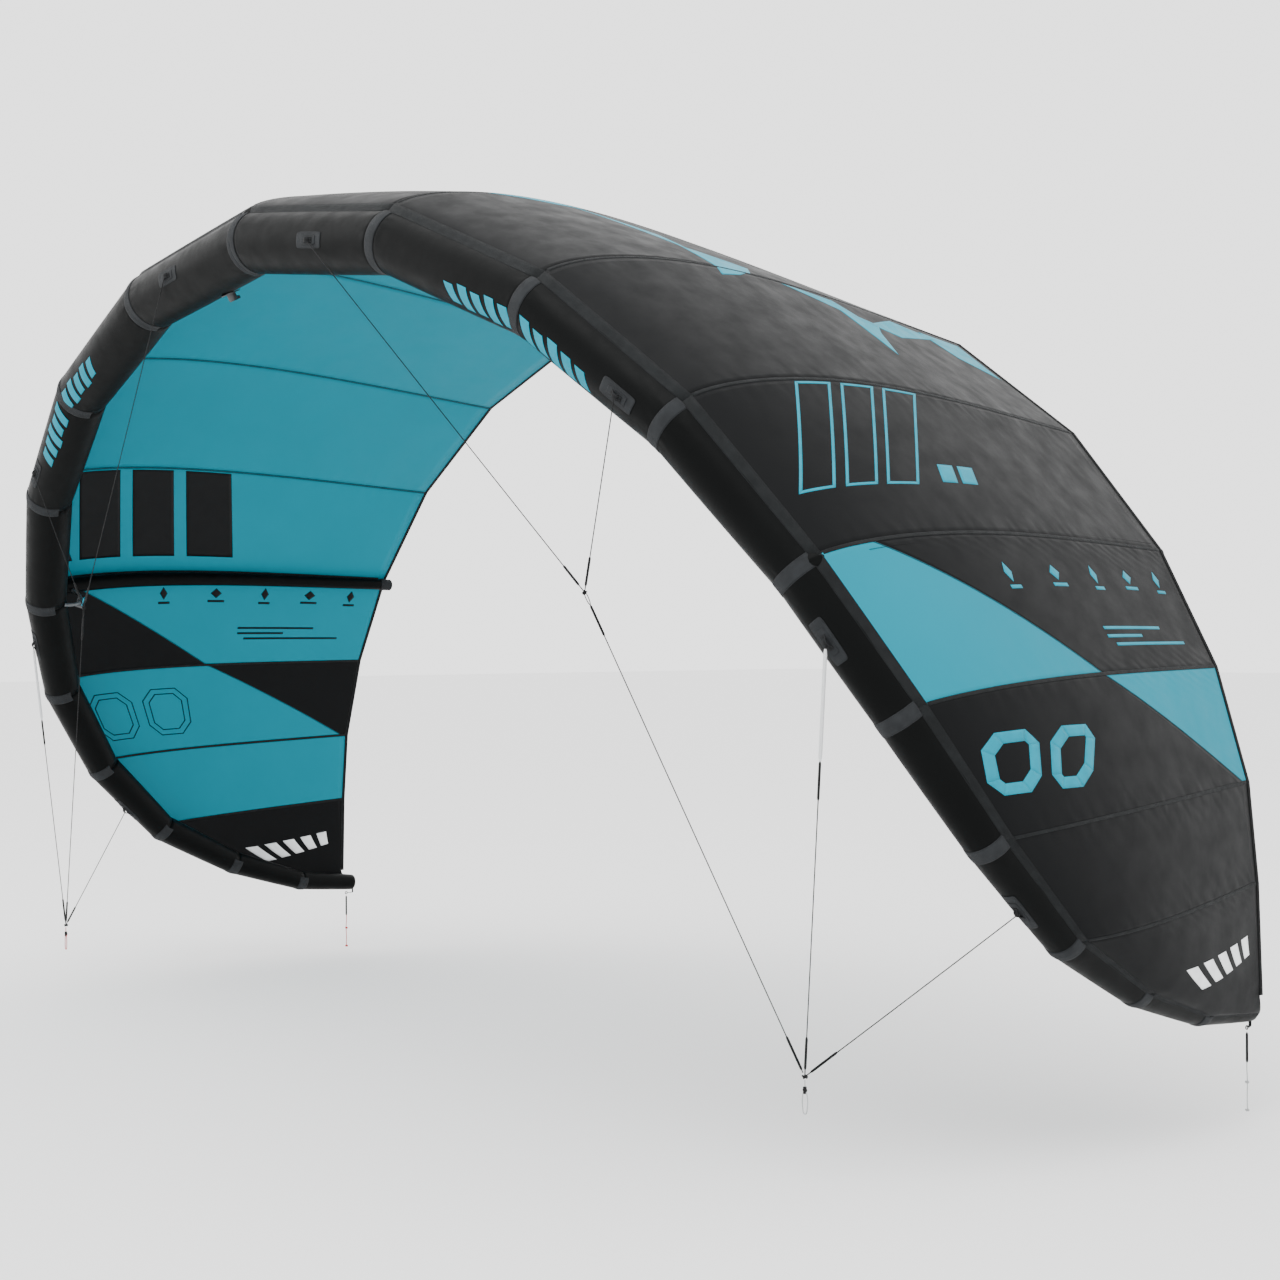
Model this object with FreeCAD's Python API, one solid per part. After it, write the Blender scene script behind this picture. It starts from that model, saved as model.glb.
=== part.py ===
import FreeCAD, Part
import math
import os
from FreeCAD import Vector

# Inflatable (leading edge inflatable) kitesurf kite of about nine square metres.
# Origin: centre of the leading edge tube on the plane of symmetry.
# X runs along the span, Y from the leading edge to the trailing edge, Z up.
# Everything is drawn for the right wing, x > 0, and mirrored for the left one.
# Lengths are millimetres and angles are degrees.

# ---- leading edge: one entry for each straight segment, from the middle to the tip ----
SEGMENT_LENGTH = [630, 570, 500, 440, 370, 340, 330, 310, 280, 220]
SEGMENT_DROOP = [7.5, 22.5, 36.5, 50.5, 62.5, 75, 87, 99, 107, 115]    # below horizontal, seen from the front
SEGMENT_SWEEP = [2, 4, 9, 15, 21.5, 33.5, 46, 62.5, 72, 84]            # towards the trailing edge
TUBE_RADIUS = 83.0
TIP_TUBE_RADIUS = 27.5
TUBE_TAPER_POWER = 1.9

# ---- trailing edge: one straight run for each canopy panel ----
TRAILING_LENGTH = [590, 530, 480, 420, 335, 295, 245, 270]
TRAILING_DROOP = [5.5, 21, 34.5, 48.5, 60.5, 72, 84, 88]
CENTRE_CHORD = 1556.0
TRAILING_START_Z = -13.0

# ---- canopy ----
PANELS = 8                    # on each wing; the last one reaches the end of the tip
TIP_RIBS = [7, 8, 9, 10]      # leading edge stations that the last panel is drawn through
CANOPY_THICKNESS = 2.0
CAMBER = 0.063                # height of the rib's curve over its chord
CAMBER_POWER = 0.62           # below 1 moves the deepest point forward
RIB_STEPS = [0, 0.02, 0.06, 0.14, 0.26, 0.42, 0.6, 0.8, 1]
SEAM_ANGLE_MIDDLE = 21.0      # canopy's front seam on the tube, forward of its outermost line
SEAM_ANGLE_TIP = -10.0
LAST_MIDDLE_STATION = 4
SEAM_GAP = 1.0                # cloth stands this far off the tube that it is sewn to
HEM_DEPTH = 12.0
HEM_THICKNESS = 3.0

# ---- tubes, bladders and reinforcement ----
CLOTH_WALL = 1.5
BLADDER_GAP = 3.0
BLADDER_WALL = 1.5
BAND_WIDTH = 36.0
BAND_THICKNESS = 1.5
BAND_END_ANGLE = 185.0
BAND_START_CLEARANCE = 6.0    # degrees past the canopy's front seam

# ---- struts ----
STRUT_STATIONS = [0, 4]
STRUT_RADIUS_FRONT = 27.0
STRUT_RADIUS_REAR = 18.5
STRUT_STEPS = [0.0, 0.08, 0.16, 0.28, 0.42, 0.58, 0.76, 0.9]
STRUT_OVERHANG = 24.0
STRUT_SLEEVE_START = 0.03     # shares of the rib where the sleeve and its bladder begin
STRUT_BLADDER_START = 0.13
STRUT_BLADDER_INSET = 14.0    # bladder ends short of the sleeve's closed ends
STRUT_AXIS_START = 0.08       # the axis is straight ahead of this share

# ---- front bridle, right side ----
# Each tab: segment, fraction along it, and angle round the tube, 90 = dead ahead.
TAB_PLACES = {"a": (1, 0.585, 92), "b": (3, 0.735, 94), "c": (5, 0.42, 92), "d": (7, 0.53, 96)}
TAB_PATCH_LENGTH = 105.0
TAB_PATCH_WIDTH = 42.0
TAB_STAND_OFF = 9.0
TAB_BAR_RADIUS = 2.0
TAB_BAR_LENGTH = 20.0
UPPER_KNOT = Vector(1251, 111, -956)
LOWER_KNOT = Vector(1770, 297, -2009)
LINE_RADIUS = 1.3
LINE_CLEARANCE = 5.0          # from a tab's bar to the line that hangs on it
KNOT_RADIUS = 5.0
UPPER_KNOT_RADIUS = 3.6
KNOT_SPREAD = 7.5             # half the length of the upper knot's cross bar
CROSS_BAR_RADIUS = 1.8
SLEEVE_START = 10.0           # from a knot's centre to the whipping on its legs
SLEEVE_BORE = 1.8
SLEEVE_RADIUS = 2.9
SLEEVE_LENGTH = 78.0
TAIL_LENGTH = 240.0           # thick pale tail at the top of line c
TAIL_RADIUS = 4.2
TAIL_SLEEVE_LENGTH = 84.0
TAIL_START = 12.0
LINE_GRIP = 1.5               # how far a line's end goes into its knot

# ---- link between the knots: an eye at its top runs on the upper knot's cross bar ----
EYE_STRAND_RADIUS = 1.1
EYE_HALF_WIDTH = 5.6
EYE_TRAVEL = 28.0
EYE_CLEARANCE = 0.6
LINK_CLEARANCE = 9.0          # from the lower knot's centre to the link's end
LINK_SLEEVE_START = 16.0

# ---- loops and pigtails for the flying lines ----
LOOP_TOP_GAP = 7.0
LOOP_STEM_LENGTH = 22.0
LOOP_LENGTH = 52.0
LOOP_HALF_WIDTH = 6.0
LOOP_STRAND_RADIUS = 1.3
LOOP_KNOT_RADIUS = 4.6
PIGTAIL_TOP = Vector(2011, 1556, -2019)
PIGTAIL_CLEARANCE = 9.0       # from the tip's ring to the pigtail's end
PIGTAIL_LENGTH = 197.0
PIGTAIL_SLEEVE_LENGTH = 72.0
PIGTAIL_KNOT_DROP = 128.0
TIP_LOOP_RADIUS = 4.5
TIP_LOOP_WIRE = 1.5

# ---- inflation valve, on the inside of the left middle segment ----
VALVE_SEGMENT = 1
VALVE_FRACTION = 0.36
VALVE_ANGLE = 205.0           # round the tube, 180 = innermost line
VALVE_FLANGE_RADIUS = 27.0
VALVE_BODY_RADIUS = 13.0
VALVE_BORE_RADIUS = 7.0
VALVE_LENGTH = 16.0
VALVE_FLANGE_THICKNESS = 3.0
CAP_RADIUS = 12.0
CAP_THICKNESS = 4.0
CAP_PLUG_RADIUS = 6.5
CAP_PLUG_LENGTH = 5.0
CAP_CLEARANCE = 0.5
CAP_HINGE_OFFSET = 17.0
CAP_PIN_RADIUS = 1.6
EAR_SIZE = (6, 8, 4)          # block on the barrel that carries the cap's pin: along it, outwards, deep
EAR_INSET = 2.5
CAP_ARM_SIZE = (10, 12, 3)
CAP_ARM_LIFT = 2.5
CAP_ARM_INSET = 3.0
CAP_CHEEK_SIZE = (2, 6, 7)
CAP_CHEEK_SPREAD = 4.4
CAP_CHEEK_LIFT = 0.8
FLAP_RADIUS = 9.0
FLAP_THICKNESS = 1.5
FLAP_CLEARANCE = 0.5
COLLAR_RADIUS = 11.5          # collar that joins the valve to the bladder through the cloth
COLLAR_WALL = 1.5
COLLAR_DEPTH = 5.0

# ---- air hoses from the leading edge to the struts, each with a pinch clip ----
HOSE_RADIUS = 6.0
HOSE_WALL = 1.5
HOSE_FRACTION = 0.1           # how far along the strut's rib the hose leaves it
HOSE_TUBE_ANGLE = 222.0       # where it enters the leading edge tube, 180 = innermost line
HOSE_BULGE = 42.0
CLIP_LENGTH = 20.0
CLIP_WIDTH = 28.0
CLIP_THICKNESS = 3.0
CLIP_GAP = 1.0
CLIP_PIN_RADIUS = 1.5
CLIP_PIN_OFFSET = 3.0         # beside the plate
CLIP_CHEEK_WIDTH = 8.0
CLIP_CHEEK_THICKNESS = 3.0
CLIP_CHEEK_RISE = 2.0
CLIP_FOOT_SIZE = (7, 2, 2.6)
CLIP_FOOT_SHARE = 0.98
LEVER_OVERHANG = 4.0
LEVER_BARREL_WALL = 1.9
PIN_CLEARANCE = 0.4


# ---------------------------------------------------------------- layout of the wing

def direction(droop, sweep):
    """Unit vector of a run that droops below horizontal and sweeps aft."""
    d, s = math.radians(droop), math.radians(sweep)
    return Vector(math.cos(s) * math.cos(d), math.sin(s), -math.cos(s) * math.sin(d))


def leading_stations():
    points = [Vector(0, 0, 0)]
    for length, droop, sweep in zip(SEGMENT_LENGTH, SEGMENT_DROOP, SEGMENT_SWEEP):
        points.append(points[-1] + direction(droop, sweep) * length)
    return points


def trailing_stations():
    points = [Vector(0, CENTRE_CHORD, TRAILING_START_Z)]
    for length, droop in zip(TRAILING_LENGTH, TRAILING_DROOP):
        points.append(points[-1] + direction(droop, 0) * length)
    tip, before = points.pop(), points[-1]
    # the tip panel's rear edge is shared out between the last three ribs
    return points + [before + (tip - before) * (step / 3) for step in (1, 2, 3)]


LEADING = leading_stations()
TRAILING = trailing_stations()
STATIONS = len(LEADING)
SPAN_LENGTH = sum(SEGMENT_LENGTH)


def flip(point):
    """The same place, or direction, on the other wing."""
    return Vector(-point.x, point.y, point.z)


def centre_of(station):
    """Centre of the tube; stations of the left wing are negative."""
    return flip(LEADING[-station]) if station < 0 else LEADING[station]


def tube_radius(station):
    done = sum(SEGMENT_LENGTH[:abs(station)]) / SPAN_LENGTH
    return TUBE_RADIUS - (TUBE_RADIUS - TIP_TUBE_RADIUS) * done ** TUBE_TAPER_POWER


def tangent(station):
    if station < 0:
        return -flip(tangent(-station))
    if station == 0:
        return Vector(1, 0, 0)
    before = (LEADING[station] - LEADING[station - 1]).normalize()
    if station == STATIONS - 1:
        return before
    after = (LEADING[station + 1] - LEADING[station]).normalize()
    return (before + after).normalize()


def outward(station):
    """Square to the tube and to the rib's chord, pointing out of the arch."""
    if station < 0:
        return flip(outward(-station))
    chord = TRAILING[station] - LEADING[station]
    if station == STATIONS - 1:
        chord = TRAILING[station - 1] - LEADING[station - 1]
    return tangent(station).cross(chord).normalize()


def forward(station):
    if station < 0:
        return flip(forward(-station))
    return tangent(station).cross(outward(station)).normalize()


def tube_point(station, angle, radius):
    """Point round the tube; 0 is the outermost line, 90 dead ahead, 180 the innermost."""
    a = math.radians(angle)
    return LEADING[station] + (outward(station) * math.cos(a) + forward(station) * math.sin(a)) * radius


def segment_point(segment, fraction, angle, extra):
    """Point on a segment's skin, or a distance outside it."""
    inner = tube_point(segment - 1, angle, tube_radius(segment - 1) + extra)
    outer = tube_point(segment, angle, tube_radius(segment) + extra)
    return inner + (outer - inner) * fraction


def seam_angle(station):
    past = max(0, station - LAST_MIDDLE_STATION) / (STATIONS - 1 - LAST_MIDDLE_STATION)
    return SEAM_ANGLE_MIDDLE + (SEAM_ANGLE_TIP - SEAM_ANGLE_MIDDLE) * math.sqrt(past)


def rib_point(station, u):
    """Canopy's inner face along a rib: u is 0 at the tube's seam and 1 at the trailing edge."""
    start = tube_point(station, seam_angle(station), tube_radius(station) + SEAM_GAP)
    run = TRAILING[station] - start
    rise = CAMBER * run.Length * math.sin(math.pi * u ** CAMBER_POWER)
    return start + run * u + outward(station) * rise


# ---------------------------------------------------------------- shape helpers

def mirrored(shape):
    return shape.mirror(Vector(0, 0, 0), Vector(1, 0, 0))


def spline(points):
    curve = Part.BSplineCurve()
    curve.interpolate(points)
    return curve.toShape()


def circle_wire(centre, axis, start, radius):
    """Circle square to axis whose seam lies towards start."""
    turn = FreeCAD.Rotation(start, axis.cross(start), axis, "ZXY")
    ring = Part.makeCircle(radius)
    ring.Placement = FreeCAD.Placement(centre, turn)
    return Part.Wire([ring])


def rod(start, end, radius):
    return Part.makeCylinder(radius, (end - start).Length, start, end - start)


def pipe(start, end, bore, radius):
    return rod(start, end, radius).cut(rod(start, end, bore))


def ball(centre, radius):
    return Part.makeSphere(radius, centre)


def plate(centre, along, across, length, width, thickness):
    """Flat block with its long side on along and its thickness square to both directions."""
    turn = FreeCAD.Rotation(along, across, along.cross(across), "XYZ")
    block = Part.makeBox(length, width, thickness, Vector(-length / 2, -width / 2, -thickness / 2))
    block.Placement = FreeCAD.Placement(centre, turn)
    return block


def strand_loop(top, down, side, length, half_width, radius):
    """Closed loop of cord: two straight strands joined by a half circle at each end."""
    upper = top + down * half_width
    lower = top + down * (length - half_width)
    edges = [Part.Arc(upper - side * half_width, top, upper + side * half_width).toShape(),
             Part.makeLine(upper + side * half_width, lower + side * half_width),
             Part.Arc(lower + side * half_width, top + down * length, lower - side * half_width).toShape(),
             Part.makeLine(lower - side * half_width, upper - side * half_width)]
    path = Part.Wire(edges)
    section = circle_wire(upper - side * half_width, down, side, radius)
    return path.makePipeShell([section], True, False)


def save(shape, node):
    shape.exportStep(os.path.join("parts", node + ".step"))


def save_pair(shape, node):
    """Mirrored twins that are one kind of piece share a node."""
    save(Part.makeCompound([shape, mirrored(shape)]), node)


# ---------------------------------------------------------------- leading edge

def station_circle(station, radius):
    return circle_wire(centre_of(station), tangent(station), forward(station), radius)


def tube_loft(first, last, inset):
    """Mitred run of tube between two stations, its skin moved inwards by inset."""
    rings = [station_circle(k, tube_radius(k) - inset) for k in range(first, last + 1)]
    return Part.makeLoft(rings, True, True)


def leading_segment(segment):
    skin = tube_loft(segment - 1, segment, 0)
    return skin.cut(tube_loft(segment - 1, segment, CLOTH_WALL))


def closed_tip_segment():
    """Last segment: its outer end is sewn shut with a round patch."""
    last = STATIONS - 1
    patch = rod(LEADING[last], LEADING[last] + tangent(last) * CLOTH_WALL, tube_radius(last))
    return leading_segment(last).fuse(patch).removeSplitter()


def leading_bladder():
    """One long bladder from tip to tip, closed at both ends."""
    last = STATIONS - 1
    inset = CLOTH_WALL + BLADDER_GAP
    half = tube_loft(0, last, inset).cut(tube_loft(0, last, inset + BLADDER_WALL))
    inner_face = LEADING[last] - tangent(last) * BLADDER_WALL
    half = half.fuse(rod(inner_face, LEADING[last], tube_radius(last) - inset))
    return half.fuse(mirrored(half)).removeSplitter()


def cloth_patch(first, last, block):
    """Second layer of cloth on the tube wherever the block covers it."""
    layer = tube_loft(first, last, -SEAM_GAP - BAND_THICKNESS)
    return layer.cut(tube_loft(first, last, -SEAM_GAP)).common(block)


def seam_band(station):
    """Reinforcing strap sewn over a mitred seam, round the front of the tube."""
    radius = tube_radius(station)
    start = seam_angle(station) + BAND_START_CLEARANCE
    middle = (start + BAND_END_ANGLE) / 2
    towards = (tube_point(station, middle, 1) - centre_of(station)).normalize()
    near = radius * math.cos(math.radians(BAND_END_ANGLE - middle))
    centre = centre_of(station) + towards * (near + radius)
    block = plate(centre, tangent(station), towards, BAND_WIDTH, 2 * radius, 4 * radius)
    return cloth_patch(station - 1, station + 1, block)


# ---------------------------------------------------------------- canopy

def rib_profile(station):
    """Closed outline of the cloth along a rib."""
    inner = [rib_point(station, u) for u in RIB_STEPS]
    outer = [point + outward(station) * CANOPY_THICKNESS for point in inner]
    outer.reverse()
    return Part.Wire([spline(inner), Part.makeLine(inner[-1], outer[0]),
                      spline(outer), Part.makeLine(outer[-1], inner[0])])


def canopy_panel(number):
    ribs = TIP_RIBS if number == PANELS else [number - 1, number]
    return Part.makeLoft([rib_profile(k) for k in ribs], True, True)


def trailing_hem():
    """Folded tape along the whole trailing edge, just behind the panels."""
    wires = []
    for station in range(STATIONS):
        up = outward(station)
        front = TRAILING[station] + Vector(0, SEAM_GAP, 0) + up * ((CANOPY_THICKNESS - HEM_THICKNESS) / 2)
        rear = front + Vector(0, HEM_DEPTH, 0)
        corners = [front, rear, rear + up * HEM_THICKNESS, front + up * HEM_THICKNESS, front]
        wires.append(Part.makePolygon(corners))
    half = Part.makeLoft(wires, True, True)
    return half.fuse(mirrored(half)).removeSplitter()


# ---------------------------------------------------------------- struts

def strut_radius(u):
    return STRUT_RADIUS_FRONT + (STRUT_RADIUS_REAR - STRUT_RADIUS_FRONT) * u


def rib_normal(station, u):
    step = 0.01
    low, high = max(0, u - step), min(1, u + step)
    run = (rib_point(station, high) - rib_point(station, low)).normalize()
    side = run.cross(outward(station)).normalize()
    return side.cross(run).normalize(), run


def strut_axis(station, u):
    """Centre of the strut under the rib; past 1 it carries straight on."""
    inside = min(u, 1)
    normal, run = rib_normal(station, max(inside, STRUT_AXIS_START))
    centre = rib_point(station, inside) - normal * (strut_radius(u) + SEAM_GAP)
    return centre + run * ((u - inside) * CENTRE_CHORD), run


def strut_loft(station, inset, front_u, rear_u):
    steps = [front_u] + [u for u in STRUT_STEPS if front_u < u < rear_u] + [rear_u]
    rings = []
    for u in steps:
        centre, run = strut_axis(station, u)
        side = run.cross(outward(station)).normalize()
        rings.append(circle_wire(centre, run, side, strut_radius(u) - inset))
    return Part.makeLoft(rings, True, False)


def strut_sleeve(station):
    """Tapered cloth tube, cut to sit on the leading edge and closed at the rear."""
    rear = 1 + STRUT_OVERHANG / CENTRE_CHORD
    skin = strut_loft(station, 0, STRUT_SLEEVE_START, rear)
    bore = strut_loft(station, CLOTH_WALL, STRUT_SLEEVE_START, rear - CLOTH_WALL / CENTRE_CHORD)
    sleeve = skin.cut(bore)
    sleeve = sleeve.cut(tube_loft(station - 1, station + 1, -SEAM_GAP))
    return max(sleeve.Solids, key=lambda solid: solid.Volume)


def strut_bladder(station):
    inset = CLOTH_WALL + BLADDER_GAP
    end = STRUT_BLADDER_INSET / CENTRE_CHORD
    outside = strut_loft(station, inset, STRUT_BLADDER_START, 1 - end)
    inside = strut_loft(station, inset + BLADDER_WALL, STRUT_BLADDER_START + end / 4, 1 - end * 1.25)
    return outside.cut(inside)


# ---------------------------------------------------------------- bridle

def tab_point(name):
    segment, fraction, angle = TAB_PLACES[name]
    return segment_point(segment, fraction, angle, TAB_STAND_OFF)


def tab_shape(name):
    """Sewn patch with a webbing bar that stands off it on two short feet."""
    segment, fraction, angle = TAB_PLACES[name]
    along = (LEADING[segment] - LEADING[segment - 1]).normalize()
    centre = tab_point(name)
    hub = LEADING[segment - 1] + (LEADING[segment] - LEADING[segment - 1]) * fraction
    towards = (centre - hub).normalize()
    block = plate(centre, along, along.cross(towards), TAB_PATCH_LENGTH, TAB_PATCH_WIDTH, 2 * TUBE_RADIUS)
    patch = cloth_patch(segment - 1, segment, block)
    bar_end = along * (TAB_BAR_LENGTH / 2)
    bar = rod(centre - bar_end, centre + bar_end, TAB_BAR_RADIUS)
    foot_base = segment_point(segment, fraction, angle, SEAM_GAP + BAND_THICKNESS / 2)
    for end in (-1, 1):
        foot_top = centre + bar_end * end
        bar = bar.fuse(ball(foot_top, TAB_BAR_RADIUS))
        bar = bar.fuse(rod(foot_base + bar_end * end, foot_top, TAB_BAR_RADIUS))
    return patch.fuse(bar)


TAB = {name: tab_point(name) for name in TAB_PLACES}
LINK_UP = (UPPER_KNOT - LOWER_KNOT).normalize()
PLANE_NORMAL = (TAB["b"] - TAB["a"]).cross(UPPER_KNOT - TAB["a"]).normalize()
BAR_DIRECTION = LINK_UP.cross(PLANE_NORMAL).normalize()
if BAR_DIRECTION.x < 0:
    BAR_DIRECTION = -BAR_DIRECTION
KNOT_END = {"a": UPPER_KNOT - BAR_DIRECTION * KNOT_SPREAD, "b": UPPER_KNOT + BAR_DIRECTION * KNOT_SPREAD,
            "c": LOWER_KNOT, "d": LOWER_KNOT}


def leg_direction(name):
    """Unit vector from a leg's knot up to its tab."""
    return (TAB[name] - KNOT_END[name]).normalize()


def leg_line(name):
    up = leg_direction(name)
    grip = (UPPER_KNOT_RADIUS if name in "ab" else KNOT_RADIUS) - LINE_GRIP
    return rod(TAB[name] - up * LINE_CLEARANCE, KNOT_END[name] + up * grip, LINE_RADIUS)


def leg_sleeve(name, length):
    """Tube whipped round the line's spliced end, next to its knot."""
    up = leg_direction(name)
    start = KNOT_END[name] + up * SLEEVE_START
    return pipe(start, start + up * length, SLEEVE_BORE, SLEEVE_RADIUS)


def upper_knot():
    ends = BAR_DIRECTION * KNOT_SPREAD
    knot = rod(UPPER_KNOT - ends, UPPER_KNOT + ends, CROSS_BAR_RADIUS)
    for end in (-1, 1):
        middle = UPPER_KNOT + ends * end
        reach = BAR_DIRECTION * UPPER_KNOT_RADIUS
        knot = knot.fuse(rod(middle - reach, middle + reach, UPPER_KNOT_RADIUS))
    return Part.makeCompound([knot, leg_sleeve("a", SLEEVE_LENGTH), leg_sleeve("b", SLEEVE_LENGTH)])


def lower_knot():
    up = leg_direction("c")
    tail_top = TAB["c"] - up * TAIL_START
    tail_end = tail_top - up * TAIL_LENGTH
    tail = pipe(tail_top, tail_end, SLEEVE_BORE, TAIL_RADIUS)
    grip = pipe(tail_end - up * SEAM_GAP, tail_end - up * TAIL_SLEEVE_LENGTH, SLEEVE_BORE, SLEEVE_RADIUS)
    return Part.makeCompound([ball(LOWER_KNOT, KNOT_RADIUS), leg_sleeve("c", SLEEVE_LENGTH),
                              leg_sleeve("d", SLEEVE_LENGTH), tail, grip])


EYE_END_ROOM = CROSS_BAR_RADIUS + EYE_STRAND_RADIUS + EYE_CLEARANCE
EYE_LENGTH = EYE_TRAVEL + 2 * EYE_END_ROOM
EYE_TOP = UPPER_KNOT + LINK_UP * EYE_END_ROOM
EYE_BOTTOM = EYE_TOP - LINK_UP * EYE_LENGTH


def link_line():
    return rod(LOWER_KNOT + LINK_UP * LINK_CLEARANCE, EYE_BOTTOM, LINE_RADIUS)


def link_fittings():
    """Eye that runs on the upper knot's bar, with the whipping at both ends of the link."""
    eye = strand_loop(EYE_TOP, -LINK_UP, PLANE_NORMAL, EYE_LENGTH, EYE_HALF_WIDTH, EYE_STRAND_RADIUS)
    high = EYE_BOTTOM - LINK_UP * 2 * EYE_STRAND_RADIUS
    low = LOWER_KNOT + LINK_UP * LINK_SLEEVE_START
    return Part.makeCompound([eye, pipe(high - LINK_UP * SLEEVE_LENGTH, high, SLEEVE_BORE, SLEEVE_RADIUS),
                              pipe(low, low + LINK_UP * SLEEVE_LENGTH, SLEEVE_BORE, SLEEVE_RADIUS)])


def front_loop():
    """Short stem, stopper knot and loop that a front flying line is tied to."""
    down, side = Vector(0, 0, -1), Vector(1, 0, 0)
    top = LOWER_KNOT + down * LOOP_TOP_GAP
    knot = top + down * LOOP_STEM_LENGTH
    stem = rod(top, knot, LOOP_STRAND_RADIUS)
    loop = strand_loop(knot, down, side, LOOP_LENGTH, LOOP_HALF_WIDTH, LOOP_STRAND_RADIUS)
    return stem.fuse(ball(knot, LOOP_KNOT_RADIUS)).fuse(loop)


def rear_pigtail():
    """Knotted line below the tip for a rear flying line, whipped at its upper end."""
    down = Vector(0, 0, -1)
    top = PIGTAIL_TOP + down * PIGTAIL_CLEARANCE
    line = rod(top, PIGTAIL_TOP + down * PIGTAIL_LENGTH, LINE_RADIUS)
    sleeve = rod(top, top + down * PIGTAIL_SLEEVE_LENGTH, SLEEVE_RADIUS)
    return line.fuse([sleeve, ball(PIGTAIL_TOP + down * PIGTAIL_KNOT_DROP, LOOP_KNOT_RADIUS),
                      ball(PIGTAIL_TOP + down * PIGTAIL_LENGTH, LOOP_KNOT_RADIUS)])


def tip_webbing():
    """Webbing ring under the tip that holds the rear pigtail."""
    ring = Part.makeTorus(TIP_LOOP_RADIUS, TIP_LOOP_WIRE, PIGTAIL_TOP + Vector(0, 0, TIP_LOOP_RADIUS),
                          Vector(1, 0, 0))
    last = STATIONS - 1
    anchor = LEADING[last] + tangent(last) * (CLOTH_WALL + SEAM_GAP)
    strap_top = Vector(anchor.x, anchor.y + TIP_LOOP_WIRE, anchor.z)
    ring_side = PIGTAIL_TOP + Vector(0, TIP_LOOP_RADIUS, TIP_LOOP_RADIUS)
    corner = Vector(anchor.x, strap_top.y, ring_side.z + TIP_LOOP_WIRE)
    strap = rod(strap_top, corner, TIP_LOOP_WIRE).fuse(rod(corner, ring_side, TIP_LOOP_WIRE))
    return ring.fuse([strap, ball(strap_top, TIP_LOOP_WIRE), ball(corner, TIP_LOOP_WIRE)])


# ---------------------------------------------------------------- inflation valve

VALVE_BASE = flip(segment_point(VALVE_SEGMENT, VALVE_FRACTION, VALVE_ANGLE, SEAM_GAP))
VALVE_AXIS = flip(segment_point(VALVE_SEGMENT, VALVE_FRACTION, VALVE_ANGLE, 50)
                  - segment_point(VALVE_SEGMENT, VALVE_FRACTION, VALVE_ANGLE, 0)).normalize()
VALVE_MOUTH = VALVE_BASE + VALVE_AXIS * (VALVE_FLANGE_THICKNESS + VALVE_LENGTH)
HINGE_LINE = flip((LEADING[1] - LEADING[0]).normalize())
HINGE_LINE = (HINGE_LINE - VALVE_AXIS * HINGE_LINE.dot(VALVE_AXIS)).normalize()
HINGE_SIDE = VALVE_AXIS.cross(HINGE_LINE).normalize()
CAP_HINGE = VALVE_MOUTH - VALVE_AXIS * CAP_PIN_RADIUS + HINGE_SIDE * CAP_HINGE_OFFSET


def valve_body():
    flange = rod(VALVE_BASE, VALVE_BASE + VALVE_AXIS * VALVE_FLANGE_THICKNESS, VALVE_FLANGE_RADIUS)
    barrel = rod(VALVE_BASE, VALVE_MOUTH, VALVE_BODY_RADIUS)
    half = HINGE_LINE * (CAP_RADIUS / 2)
    ear_middle = CAP_HINGE - HINGE_SIDE * EAR_INSET - VALVE_AXIS * (EAR_SIZE[2] / 2)
    ear = plate(ear_middle, HINGE_LINE, HINGE_SIDE, *EAR_SIZE)
    pin = rod(CAP_HINGE - half, CAP_HINGE + half, CAP_PIN_RADIUS)
    collar = rod(VALVE_BASE - VALVE_AXIS * COLLAR_DEPTH, VALVE_BASE, COLLAR_RADIUS)
    body = flange.fuse([barrel, ear, pin, collar])
    recess_top = VALVE_BASE + VALVE_AXIS * VALVE_FLANGE_THICKNESS
    bore = rod(recess_top, VALVE_MOUTH, VALVE_BORE_RADIUS)
    recess = rod(VALVE_BASE - VALVE_AXIS * COLLAR_DEPTH, recess_top, COLLAR_RADIUS - COLLAR_WALL)
    return body.cut(bore.fuse(recess))


def valve_hole(radius):
    """Round hole through cloth and bladder below the valve."""
    return rod(VALVE_BASE - VALVE_AXIS * (4 * COLLAR_DEPTH), VALVE_BASE, radius)


def valve_flap():
    """One-way flap behind the bore; it swings inwards when the pump blows."""
    start = VALVE_BASE + VALVE_AXIS * (VALVE_FLANGE_THICKNESS - FLAP_THICKNESS - FLAP_CLEARANCE)
    return rod(start, start + VALVE_AXIS * FLAP_THICKNESS, FLAP_RADIUS)


def valve_cap():
    low = VALVE_MOUTH + VALVE_AXIS * CAP_CLEARANCE
    lid = rod(low, low + VALVE_AXIS * CAP_THICKNESS, CAP_RADIUS)
    plug = rod(low - VALVE_AXIS * CAP_PLUG_LENGTH, low, CAP_PLUG_RADIUS)
    centre = CAP_HINGE + VALVE_AXIS * (CAP_PIN_RADIUS + CAP_ARM_LIFT)
    arm = plate(centre - HINGE_SIDE * CAP_ARM_INSET, HINGE_LINE, HINGE_SIDE, *CAP_ARM_SIZE)
    shape = lid.fuse([plug, arm])
    for end in (-1, 1):
        middle = CAP_HINGE + HINGE_LINE * (CAP_CHEEK_SPREAD * end) + VALVE_AXIS * CAP_CHEEK_LIFT
        shape = shape.fuse(plate(middle, HINGE_LINE, HINGE_SIDE, *CAP_CHEEK_SIZE))
    half = HINGE_LINE * CAP_RADIUS
    return shape.cut(rod(CAP_HINGE - half, CAP_HINGE + half, CAP_PIN_RADIUS + PIN_CLEARANCE))


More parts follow.
